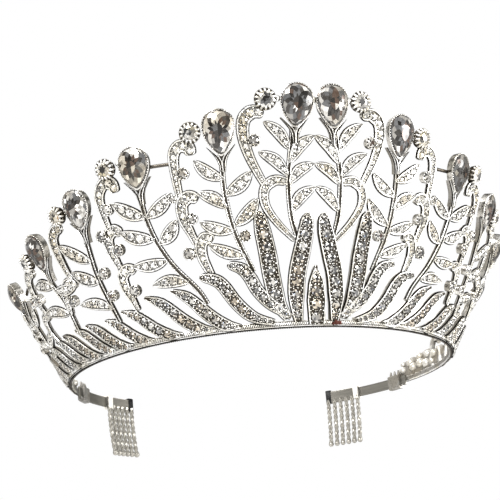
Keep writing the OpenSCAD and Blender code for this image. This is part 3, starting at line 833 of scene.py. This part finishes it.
def set_out(name, seats, tree, values):
    """Runs a tree on a list of seats (place, turn, size) and keeps the result as a plain mesh."""
    mesh = bpy.data.meshes.new(name + "_seats")
    mesh.from_pydata([seat[0] for seat in seats], [], [])
    for column, label in ((1, "aim"), (2, "size")):
        kept = mesh.attributes.new(label, "FLOAT_VECTOR", "POINT")
        for item, seat in zip(kept.data, seats):
            item.vector = seat[column]
    holder = add_object(name + "_seats", mesh)
    modifier = holder.modifiers.new("set_out", "NODES")
    modifier.node_group = tree
    for item in tree.interface.items_tree:
        if item.item_type == "SOCKET" and item.in_out == "INPUT" and item.name in values:
            modifier[item.identifier] = values[item.name]
    made = bpy.data.meshes.new_from_object(holder.evaluated_get(bpy.context.evaluated_depsgraph_get()))
    made.name = name
    piece = add_object(name, made)
    bpy.data.objects.remove(holder)
    bpy.data.meshes.remove(mesh)
    return piece


# seats of stones and beads: place, turn and size of each

def sized(*mm):
    return tuple(x * MM for x in mm)


def stone_seat(around, up, out, width, side, spin=0.0):
    """Seat of a round stone or bead on the wall, turned about its own axis by spin."""
    along, rise, away = wall_axes(around, side)
    c, s = math.cos(spin), math.sin(spin)
    turn = facing(along * c + rise * s, rise * c - along * s, away)
    return wall(around, up, out, side), turn, sized(width, width, width)


def walk(path, start, end, steps):
    """Goes along a path: share of it, point, and mm walked so far."""
    walked = 0.0
    last = on_path(path, start)
    for i in range(steps + 1):
        t = start + (end - start) * i / steps
        p = on_path(path, t)
        walked += math.hypot(math.radians(p[0] - last[0]) * reach(*p), p[1] - last[1])
        last = p
        yield t, p, walked


def stones_along(band, start, end, largest, space, crown):
    """Share of the path, point and width of each stone that fits down the middle of a channel."""
    row, due = [], 0.0
    for t, p, walked in walk(band.path, start, end, 200):
        inside = band.width * band.form(t) - 2 * (band.wire + EDGE_BEVEL)
        fit = min(largest, inside + 0.25 - (CROWN_ROOM if crown else 0))
        if fit >= SMALLEST_STONE and walked >= due + fit / 2:
            row.append((t, p, fit))
            due = walked + fit / 2 + space
    return row


def rows_of_stones(bands, side, start, end, largest, space, crown):
    """Stones and claw beads of channels set alike.

    A crown of beads goes round each stone, or else tiny stones and beads into the corners between stones."""
    stones, beads = [], []
    for band in bands:
        level = band.front - STONE_SUNK
        row = stones_along(band, start, end, largest, space, crown)
        for _, p, fit in row:
            spin = chance.uniform(0, 0.8)
            stones.append(stone_seat(*p, level, fit, side, spin))
            for k in range(crown):
                a = spin + 2 * math.pi * k / crown
                x, y = (fit + CROWN_REACH) / 2 * math.cos(a), (fit + CROWN_REACH) / 2 * math.sin(a)
                spot = (p[0] + math.degrees(x / reach(*p)), p[1] + y)
                beads.append(stone_seat(*spot, level + CLAW_RISE, CLAW_BEAD, side))
        for (t, _, _), (t2, _, _) in zip(row, row[1:]):
            m = (t + t2) / 2
            room = band.width * band.form(m) / 2 - band.wire - EDGE_BEVEL
            off = max(room - 0.35, 0.2)
            for way in (-1, 1):
                if crown:
                    spot = aside(band.path, m, way * max(room - 0.25, 0.2))
                    beads.append(stone_seat(*spot, level + 0.15, 0.6, side))
                elif room > CORNER_ROOM:
                    stones.append(stone_seat(*aside(band.path, m, way * off), level, CORNER_STONE, side))
                    spot = aside(band.path, m, way * off * 0.35)
                    beads.append(stone_seat(*spot, level + CLAW_RISE, 0.42, side))
                else:
                    spot = aside(band.path, m, way * off)
                    beads.append(stone_seat(*spot, level + CLAW_RISE, CLAW_BEAD, side))
    return stones, beads


def stem_beads(path, off, side):
    """Little beads in a line beside the middle of a stem."""
    seats, due = [], 0.0
    for t, _, walked in walk(path, 0.3, 1, 300):
        if walked >= due:
            seats.append(stone_seat(*aside(path, t, off), FRONT + 0.05, 0.52, side))
            due = walked + 0.85
    return seats


def bead_ring(around, up, out, side, outline, size):
    """Beads along an outline on the wall."""
    turn = facing(*wall_axes(around, side))
    return [(spot, turn, size) for spot in placed(around, up, out, side, [(x, y, 0) for x, y in outline])]


def claw_ring(around, up, width, side):
    """Claw tips bent over the edge of a round stone."""
    along, rise, away = wall_axes(around, side)
    seats = []
    for a in turns(CLAWS):
        ray = along * math.sin(a) + rise * math.cos(a)
        spot = wall(around, up, BACK + ROUND_CUP_T - 0.5, side) + ray * width * 0.4 * MM
        tilt = (away * 0.8 - ray * 0.6).normalized()
        across = ray.cross(tilt).normalized()
        seats.append((spot, facing(across, tilt.cross(across), tilt), sized(0.8, 1.1, 1.9)))
    return seats


def mixed(axes, shares):
    """A direction from its shares of three others."""
    return sum((axis * part for axis, part in zip(axes, shares)), Vector())


def rim_beads(r, z, slant, flat, size):
    """Slanting beads all round the rim; slant and flat are shares along it, out of it and up."""
    seats = []
    for i in range(ROPE_BEADS + 1):
        around = -FRAME_END + 2 * FRAME_END * i / ROPE_BEADS
        a = math.radians(around)
        along, away = Vector((math.cos(a), math.sin(a), 0)), Vector((math.sin(a), -math.cos(a), 0))
        axes = (along, away, Vector((0, 0, 1)))
        lie = mixed(axes, slant).normalized()
        across = lie.cross(mixed(axes, flat)).normalized()
        seats.append((ring_point(r, around, z), facing(across, lie.cross(across), lie), size))
    return seats


# the cast openwork

CALYX_SLOTS = {0: CAST, 1: BEVEL, 4: FLOOR, 5: FLOOR, 6: FLOOR, 8: CAST, 9: CAST}
RIM_SLOTS = {0: TOP, 1: BEVEL, 2: BEVEL, 3: TOP, 4: FLOOR, 5: FLOOR, 6: TOP}


def calyx(bm, around, up, side, way):
    """Half of the open calyx a drop stone stands in: light edges and a bevel painted dark as shade round a
    hollow darkened with oxide and painted shade.
    """
    rings = []
    steps = 20
    for i in range(steps + 1):
        x = i / steps * (len(CALYX) - 1)
        k = min(int(x), len(CALYX) - 2)
        ox, oy, ix, iy = (a + (b - a) * (x - k) for a, b in zip(CALYX[k], CALYX[k + 1]))
        span = math.hypot(ox - ix, oy - iy)
        bevel, edge = min(0.22, span * 0.15), min(0.42, span * 0.22)
        high = 1.5 - 0.6 * (i / steps) ** 3
        ring = []
        for off, z in ((span * 0.3, BACK), (0, high - 0.6), (bevel, high - 0.15), (bevel + edge * 0.5, high),
                       (bevel + edge, high - 0.1), (bevel + edge * 1.25, high - 0.45),
                       (span - edge * 1.05, high - 0.4), (span - edge * 0.8, high), (span, high + 0.05),
                       (span, BACK)):
            f = min(off / span, 1)
            ring.append((way * (ox + (ix - ox) * f), oy + (iy - oy) * f, z))
        rings.append(placed(around, up, 0, side, ring))
    loft(bm, rings, slots=CALYX_SLOTS)


def cast_channels(bands, side):
    bm = bmesh.new()
    for band in bands:
        channel(bm, band, side)
    return bm


def cast_stems(side):
    """Stems, link bars, and the calyxes of the drop stones."""
    bm = cast_channels(stem_bands, side)
    for a0, s0, a1, s1 in LINKS:
        rod(bm, [(a0, s0), ((a0 + a1) / 2, (s0 + s1) / 2), (a1, s1)], 0.55, 3, side, FLOOR)
    for around, up, width, length, turn in PEARS:
        for way in (-1, 1):
            calyx(bm, around + turn * 0.08, up - (length - width / 2) - PEAR_EDGE, side, way)
    return bm


def cup(bm, around, up, side, outer, inner, high, floor, foot_share, slot=TOP):
    """An open cup from an outer and an inner outline, drawn in at its foot."""
    foot = [(x * foot_share, y * foot_share) for x, y in outer]
    rim = [((a[0] + b[0]) / 2, (a[1] + b[1]) / 2) for a, b in zip(outer, inner)]
    levels = [(foot, BACK), (outer, high - 0.15), (rim, high), (inner, high - 0.12), (inner, floor)]
    loft(bm, outlines(around, up, side, levels), slot, caps=(CAST, FLOOR))


def cast_settings(side):
    """Cups of the drop stones, of the claw-set rounds and of the small stones beside the curls."""
    bm = bmesh.new()
    for around, up, width, length, turn in PEARS:
        cup(bm, around, up, side, drop_outline(width + 1.2, length + 1.4, turn, 40),
            drop_outline(width + 0.2, length + 0.2, turn, 40),
            BACK + PEAR_CUP_T - 0.75, BACK + PEAR_FLOOR_T, 0.9)
    for around, up, width in ROUNDS:
        cup(bm, around, up, side, round_outline(width * 0.485, 28), round_outline(width * 0.36, 28),
            BACK + ROUND_CUP_T - 0.7, BACK + 1, 0.85, FLOOR)
    for around, up, width in GEMS:
        cup(bm, around, up, side, round_outline(width * 0.56, 20), round_outline(width * 0.46, 20),
            FRONT + 0.35, FRONT - 0.2, 0.9)
    return bm


def ring_point(r, around, z, side=1):
    """A point in metres from its distance to the axis of the rim, degrees round and height."""
    a = math.radians(around)
    return Vector((side * r * math.sin(a), -r * math.cos(a), z)) * MM


def bent_bar(bm, start, end, parts, section, side=1, slot=TOP, caps=None, slots=None):
    """A bar bent round the axis of the rim, from a section of radius and height."""
    rings = []
    for i in range(parts + 1):
        around = start + (end - start) * i / parts
        rings.append([ring_point(r, around, z, side) for r, z in section])
    loft(bm, rings, slot, caps, slots)


def sleeve(bm, start, end, thick, side, slot, inward=0.0):
    """A closed band round the strip with the strip's own hole through it, thicker inward if asked."""
    mid_r, mid_z = STRIP_R + STRIP_T / 2, STRIP_LOW + STRIP_H / 2
    w, h = STRIP_T / 2 + SEAT_GAP, STRIP_H / 2 + SEAT_GAP
    i = -w - inward
    outer = [(w + thick, h + 0.4 * thick), (w + 0.5 * thick, h + thick), (i - 0.5 * thick, h + thick),
             (i - thick, h + 0.4 * thick)]
    inner = [(w, h * 0.9), (w * 0.5, h), (-w * 0.5, h), (-w, h * 0.9)]
    parts = 6
    rows = []
    for k in range(parts + 1):
        around = start + (end - start) * k / parts
        rows.append([[bm.verts.new(ring_point(mid_r + x, around, mid_z + z, side))
                      for x, z in top + [(x, -z) for x, z in reversed(top)]] for top in (outer, inner)])
    corners = [(j, (j + 1) % 8) for j in range(8)]
    quads = []
    for a, b in zip(rows, rows[1:]):
        for j, k in corners:
            quads.append((a[0][j], a[0][k], b[0][k], b[0][j]))
            quads.append((a[1][k], a[1][j], b[1][j], b[1][k]))
    for row in (rows[0], rows[-1]):
        quads += [(row[0][j], row[0][k], row[1][k], row[1][j]) for j, k in corners]
    for quad in quads:
        bm.faces.new(quad).material_index = slot


def frame_end(bm, side):
    """A rounded end with bumps on its inner face, and the grip of the strip with its prongs and eye."""
    for around, up, width in END_LOBES:
        levels = [(round_outline(width / 2 * k, 36), z) for k, z in (
            (0.92, BACK), (1.0, BACK + 0.3), (1.0, FRONT - 0.35), (0.93, FRONT))]
        loft(bm, outlines(around, up, side, levels), SATIN)
    for around, up, width in END_BUMPS:
        ball(bm, wall(around, up, BACK + 0.1, side), width, 20, BUMP_HIGHLIGHT)
    sleeve(bm, GRIP_FROM, GRIP_TO, GRIP_WALL, side, CAST)
    for around in PRONGS:
        foot = ring_point(STRIP_R + 0.4, around, 2.6, side)
        tip = ring_point(STRIP_R + 0.9, around + 0.2, 5, side)
        wire(bm, [foot.lerp(tip, k / 4) for k in range(5)], 0.8, 8, CAST, 0.6)
    along, rise, _ = wall_axes(EYE[0], side)
    wire(bm, [wall(*EYE, BACK, side) + (along * math.cos(a) + rise * math.sin(a)) * 0.95 * MM
              for a in turns(16) + [2 * math.pi]], 0.34, 6, CAST)


def cast_rim():
    """The rim band, centre leaf, rounded ends, solder balls and the brown lump."""
    bm = bmesh.new()
    bent_bar(bm, -FRAME_END, FRAME_END, 160, [
        (RIM_R - 0.9, 0.1), (RIM_R - 0.5, -0.35), (RIM_R + 0.2, -0.35), (RIM_R + 0.5, -0.1),
        (RIM_R + 0.55, 0.1), (RIM_R + 0.75, 0.3), (RIM_R + 1.1, BAND_H - 0.3), (RIM_R + 0.95, BAND_H),
        (RIM_R - 0.7, BAND_H), (RIM_R - 0.9, BAND_H - 0.2)], slot=CAST, caps=(TOP, TOP), slots=RIM_SLOTS)
    channel(bm, centre_band, 1)
    for side, _ in SIDES:
        frame_end(bm, side)
        if side > 0:
            for around, z, width in TARNISHED_LUMP:
                ball(bm, ring_point(RIM_R + 1.1, around, z), width, slot=LUMP)
        for around, up, width in SOLDER_BALLS:
            if around or side > 0:
                ball(bm, wall(around, up, 0.2, side), width)
    return bm


# drop and round stones

def cut_stone(name, around, up, out, side, outline, rows, depth, gloom, seed, material):
    """A cut stone on any outline: staggered rings of kite facets over a pavilion that ends in a keel, each
    facet with a tone that paints its reflection.
    """
    count = len(outline)
    half = count // 2
    luck = random.Random(seed)
    middle = (sum(p[0] for p in outline) / count, sum(p[1] for p in outline) / count)
    bm = bmesh.new()
    tones = []

    def ring(scale, z, picks):
        return [bm.verts.new(p) for p in placed(around, up, out, side, [
            (middle[0] + (outline[i % count][0] - middle[0]) * scale,
             middle[1] + (outline[i % count][1] - middle[1]) * scale, z) for i in picks])]

    def facet(points, tone):
        bm.faces.new(points)
        tones.append(tone)

    def shade(k):
        """Painted reflection of a facet: a dark middle that spreads with gloom, mixed facets round it, and a
        few painted flashes.
        """
        if luck.random() < 0.2 * (1.15 - gloom):
            return luck.uniform(0.6, 0.9)
        if k < 2.6 * gloom + 0.4:
            return luck.uniform(0.02, 0.36)
        return luck.uniform(0.16, 1 - 0.4 * gloom)

    rings = [ring(scale, z, range(k % 2, count, 2)) for k, (scale, z) in enumerate(rows)]
    kites = [[shade(k) for i in range(half)] for k in range(len(rows))]
    for row in kites[:2]:
        row[:] = [row[i - i % 2] for i in range(half)]
    hub = ring(0, rows[0][1], [0])[0]
    parts = [0.8 * shade(0) for _ in range(TABLE_PARTS)]
    for i in range(half):
        facet((rings[0][i], rings[0][(i + 1) % half], hub), parts[TABLE_PARTS * i // half])
    for k, (a, b) in enumerate(zip(rings, rings[1:])):
        for i in range(half):
            j = (i + 1) % half
            far, near = (b[j], a[i]) if k % 2 else (b[i], a[j])
            facet((a[i], a[j], far), kites[k][i])
            facet((b[i], near, b[j]), kites[k + 1][i])
    top = ring(1.0, 0.1, range(count))
    low = ring(1.0, -0.15, range(count))
    last = rings[-1]
    shift = (len(rings) - 1) % 2
    dim = 1 - 0.5 * gloom
    for i in range(half):
        j = (i + 1) % half
        p, q, r = (top[(2 * i + step + shift) % count] for step in range(3))
        facet((last[i], p, q), (0.1 + 0.4 * luck.random()) * dim)
        facet((last[i], q, last[j]), (0.3 + 0.6 * luck.random()) * dim)
        facet((last[j], q, r), (0.1 + 0.6 * luck.random()) * dim)
    keel = ring(0.5, -depth, range(count))
    for a, b, most in ((low, top, 0.1), (keel, low, 1)):
        for i in range(count):
            j = (i + 1) % count
            facet((a[i], a[j], b[j], b[i]), most * luck.random())
    facet(list(reversed(keel)), 0.3)
    piece = finish_mesh(name, bm, [material], smooth=False)
    keep_tones(piece, "facet_tone", tones)
    return piece


# combs

def comb(side):
    """A back plate, a wound loop at each end, and twisted wire tines with ball ends."""
    bm = bmesh.new()
    plate_r = STRIP_R - SEAT_GAP - 0.9
    low, high = STRIP_LOW - 0.9, STRIP_LOW - 0.9 + STRIP_H + 1.2
    section = [(0, low + 0.2), (0.25, low), (0.65, low), (0.9, low + 0.2), (0.9, high - 0.2), (0.65, high),
               (0.25, high), (0, high - 0.2)]
    bent_bar(bm, COMB_FROM, COMB_TO, 20, [(plate_r + x, z) for x, z in section], side, PLATE)
    sleeve(bm, COMB_FROM, COMB_FROM + LOOP_TURN, LOOP_WALL, side, PALE_WINDING, 0.9)
    sleeve(bm, COMB_TO - LOOP_TURN, COMB_TO, LOOP_WALL, side, DARK_WINDING, 0.6)
    centre_r = plate_r + 0.9 - TINE_D / 2

    def tine_point(around, down, off=0.0, twist=0.0):
        """A point of a tine that bends inward as it goes down, off its middle by a turn."""
        bend = down / TINE_BEND_R
        return ring_point(centre_r - TINE_BEND_R * (1 - math.cos(bend)) + off * math.cos(twist),
                          around + math.degrees(off * math.sin(twist) / centre_r),
                          low + 1.4 - TINE_BEND_R * math.sin(bend), side)

    for i in range(TINES):
        around = COMB_FROM + 0.6 + (COMB_TO - COMB_FROM - 1.2) * i / (TINES - 1)
        for strand in (0, 1):
            downs = [TINE_L * k / 40 for k in range(41)]
            wire(bm, [tine_point(around, down, STRAND_OFF, 2 * math.pi * down / TWIST_L + math.pi * strand)
                      for down in downs], STRAND_R, 7, TINE)
        ball(bm, tine_point(around, TINE_L), TINE_D + 0.5, 12, TINE)
    return bm


# making the pieces

chance = random.Random(11)
metal_pieces = []
for side, label in SIDES:
    for title, bm, top, floor in (
            ("stems", cast_stems(side), bright_silver, blade_floor_oxide_and_shade),
            ("leaves", cast_channels(leaf_bands, side), bright_silver, leaf_floor_oxide_and_shade),
            ("scrolls", cast_channels(scroll_bands, side), bright_silver, leaf_floor_oxide_and_shade),
            ("blades", cast_channels(tall_bands + low_bands, side), blade_edge, blade_floor_oxide_and_shade),
            ("settings", cast_settings(side), stem_silver, blade_floor_oxide_and_shade)):
        metal_pieces.append(finish_mesh(f"{title}_{label}", bm, [top, floor, bevel_painted_shade, cast_back]))
metal_pieces.append(finish_mesh("rim_band", cast_rim(), [
    bright_silver, blade_floor_oxide_and_shade, bevel_painted_shade, cast_back, end_satin, end_bump_highlight, brown_solder]))

stone_tree = cut_stone_tree()
beads_tree = bead_tree()
pattern = brilliant("stone_pattern")
fields = []
bead_seats = []
claw_seats = []
big_stones = []

# name, channels, start and end along them, largest stone, space between two, beads round each, finish,
# and the node that the stones replace
ROWS = [
    ("leaf_stones", leaf_bands, 0.07, 0.96, 3.0, 0.06, 0, leaf_crystal, None),
    ("scroll_pave", scroll_bands, 0.02, 0.98, 2.8, 0.1, 0, scroll_crystal, None),
    ("tall_blade_stones", tall_bands, 0.04, 0.97, 3.3, 0.3, 9, blade_crystal, "blade_stones"),
    ("low_blade_stones", low_bands, 0.08, 0.97, 2.8, 0.25, 7, blade_crystal, None),
]


def set_field(name, seats, seed, finish, node):
    piece = set_out(name, seats, stone_tree, {"Stone": pattern, "Tone Seed": seed, "Finish": finish})
    fields.append((piece, node))


for side, label in SIDES:
    for title, bands, *setting, finish, node in ROWS:
        stones, beads = rows_of_stones(bands, side, *setting)
        bead_seats += beads
        set_field(f"{title}_{label}", stones, 7 + side, finish, node and f"{node}_{label}")
    stones = []
    for around, up, width in GEMS:
        stones.append(stone_seat(around, up, FRONT + 0.25, width * 0.9, side, chance.uniform(0, 1)))
        bead_seats += bead_ring(around, up, FRONT + 0.4, side, round_outline(width * 0.5, 10),
                                sized(0.6, 0.6, 0.6))
    set_field(f"curl_stones_{label}", stones, 7 + side, curl_crystal, f"scroll_stones_{label}")
    for stem in STEMS:
        for off in (-0.6, 0.6):
            bead_seats += stem_beads(stem, off, side)
stones, beads = rows_of_stones([centre_band], 1, 0.01, 0.97, 3.7, 0.3, 10)
bead_seats += beads
set_field("centre_stones", stones, 21, blade_crystal, "centre_leaf_stones")
bpy.data.objects.remove(pattern)

for side, _ in SIDES:
    for place in ROUNDS:
        claw_seats += claw_ring(*place, side)
    for around, up, width, length, turn in PEARS:
        edge = drop_outline(width + 0.7, length + 0.8, turn, 44)[4:-3]
        bead_seats += bead_ring(around, up, BACK + PEAR_CUP_T - 0.7, side, edge, sized(0.42, 0.42, 0.6))
rope = rim_beads(RIM_R + 0.95, 0.75, (0.55, 0, 0.8), (0, 1, 0), sized(0.5, 0.6, 1.7))
line = rim_beads(RIM_R - 0.1, -0.3, (0.75, 0.6, 0.3), (0, 0, 1), sized(0.42, 0.5, 1.05))
loose_metal = []
for name, seats, smoothness, finish in (
        ("claws_and_beads", bead_seats, 1, bright_silver),
        ("round_claws", claw_seats, 2, bright_silver),
        ("rim_rope", rope, 1, bright_silver),
        ("rim_line", line, 1, rim_line_painted_shade)):
    loose_metal.append(set_out(name, seats, beads_tree, {"Smoothness": smoothness, "Finish": finish}))

for side, label in SIDES:
    for i, (around, up, width, length, turn) in enumerate(PEARS):
        big_stones.append((cut_stone(
            f"drop_stone_{label}_{i + 1}", around, up, BACK + PEAR_CUP_T - 0.7, side,
            drop_outline(width + 0.45, length + 0.45, turn, 28), PEAR_ROWS, 1.4, GLOOM[label][i],
            40 + 7 * i + side, drop_crystal), f"pear_{label}_{i + 1}", "drop_crystal"))
    for i, (around, up, width) in enumerate(ROUNDS):
        big_stones.append((cut_stone(
            f"round_stone_{label}_{i + 1}", around, up, BACK + ROUND_CUP_T - 0.45, side,
            round_outline((width - 1.6) / 2, 16), ROUND_ROWS, 1.2, ROUND_GLOOM,
            90 + 5 * i + side, round_crystal), f"round_{label}_{i + 1}", "crystal"))

for piece in metal_pieces:
    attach(piece, "root")
    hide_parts("openwork_frame")
for piece in loose_metal:
    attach(piece, "root")
for piece, node in fields:
    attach(piece, "root")
    if node:
        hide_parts(node)
for piece, node, finish in big_stones:
    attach(piece, "root")
    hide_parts(node)
for side, label in SIDES:
    piece = finish_mesh(f"wire_comb_{label}", comb(side), [comb_bar, pale_thread, dark_thread, comb_wire])
    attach(piece, "root")
    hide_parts(f"comb_{label}")
    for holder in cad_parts[f"strip_{label}"].material_slots:
        holder.material = strip_steel


# studio

FLOOR_Z = -0.15


def pale_floor():
    material, tree, shader, place = new_material("pale_floor")
    set_inputs(tree, shader, {
        "Base Color": ramp(tree, noise(tree, place, 3, 3), [(0.3, 0.66), (0.7, 0.71)]),
        "Roughness": 0.6})
    bm = bmesh.new()
    bmesh.ops.create_grid(bm, x_segments=2, y_segments=2, size=1.6,
                          matrix=Matrix.Translation((0, 0, FLOOR_Z)))
    piece = finish_mesh("floor", bm, [material])
    if piece.data.polygons[0].normal.z < 0:
        piece.data.flip_normals()
    return piece


def studio_air():
    """White to the camera; soft boxes and darker walls for what the metal and stones mirror."""
    world = bpy.data.worlds.new("studio")
    bpy.context.scene.world = world
    world.use_nodes = True
    tree = world.node_tree
    tree.nodes.clear()
    place = tree.nodes.new("ShaderNodeTexCoord").outputs["Generated"]
    walls = ramp(tree, noise(tree, place, 3.2, 2), [
        (0.42, (0.06, 0.06, 0.058)), (0.50, (0.55, 0.545, 0.53)), (0.58, (1.4, 1.39, 1.36))])
    mirrored = add_node(tree, "ShaderNodeBackground", {"Color": walls})
    plain = add_node(tree, "ShaderNodeBackground", {"Color": (1, 1, 1, 1)})
    seen = tree.nodes.new("ShaderNodeLightPath")
    pick = add_node(tree, "ShaderNodeMixShader", {
        "Fac": seen.outputs["Is Camera Ray"],
        1: mirrored.outputs["Background"],
        2: plain.outputs["Background"]})
    add_node(tree, "ShaderNodeOutputWorld", {"Surface": pick.outputs["Shader"]})


def soft_light(name, place, aim, size, power):
    data = bpy.data.lights.new(name, "AREA")
    data.size = size
    data.energy = power
    lamp = add_object(name, data)
    lamp.location = place
    lamp.rotation_euler = (Vector(aim) - Vector(place)).to_track_quat("-Z", "Y").to_euler()


def photo_camera():
    """The camera at the photograph's angle, looking up from below the rim."""
    azimuth, elevation, roll = math.radians(-14.86), math.radians(-18.67), math.radians(-5.10)
    distance = 387.26 * MM
    target = Vector((-0.18, 0, 49.18)) * MM
    back = Vector((math.sin(azimuth) * math.cos(elevation), -math.cos(azimuth) * math.cos(elevation),
                   math.sin(elevation)))
    right = Vector((0, 0, 1)).cross(back).normalized()
    up = back.cross(right)
    x = right * math.cos(roll) + up * math.sin(roll)
    y = up * math.cos(roll) - right * math.sin(roll)
    data = bpy.data.cameras.new("photo_camera")
    data.sensor_width = 36
    data.lens = 72
    data.clip_start = 0.01
    camera = add_object("photo_camera", data)
    turn = Matrix((x, y, back)).transposed().to_4x4()
    camera.matrix_world = Matrix.Translation(target + back * distance) @ turn
    bpy.context.scene.camera = camera


pale_floor()
studio_air()
soft_light("key_light", (-0.5, -0.6, 0.55), (0, -0.05, 0.03), 0.35, 11)
soft_light("fill_light", (0.65, -0.45, 0.1), (0, 0, 0.03), 0.3, 6)
soft_light("back_light", (0.1, 0.6, 0.5), (0, 0, 0.03), 0.3, 5)
bpy.context.scene.view_settings.view_transform = "Standard"
photo_camera()
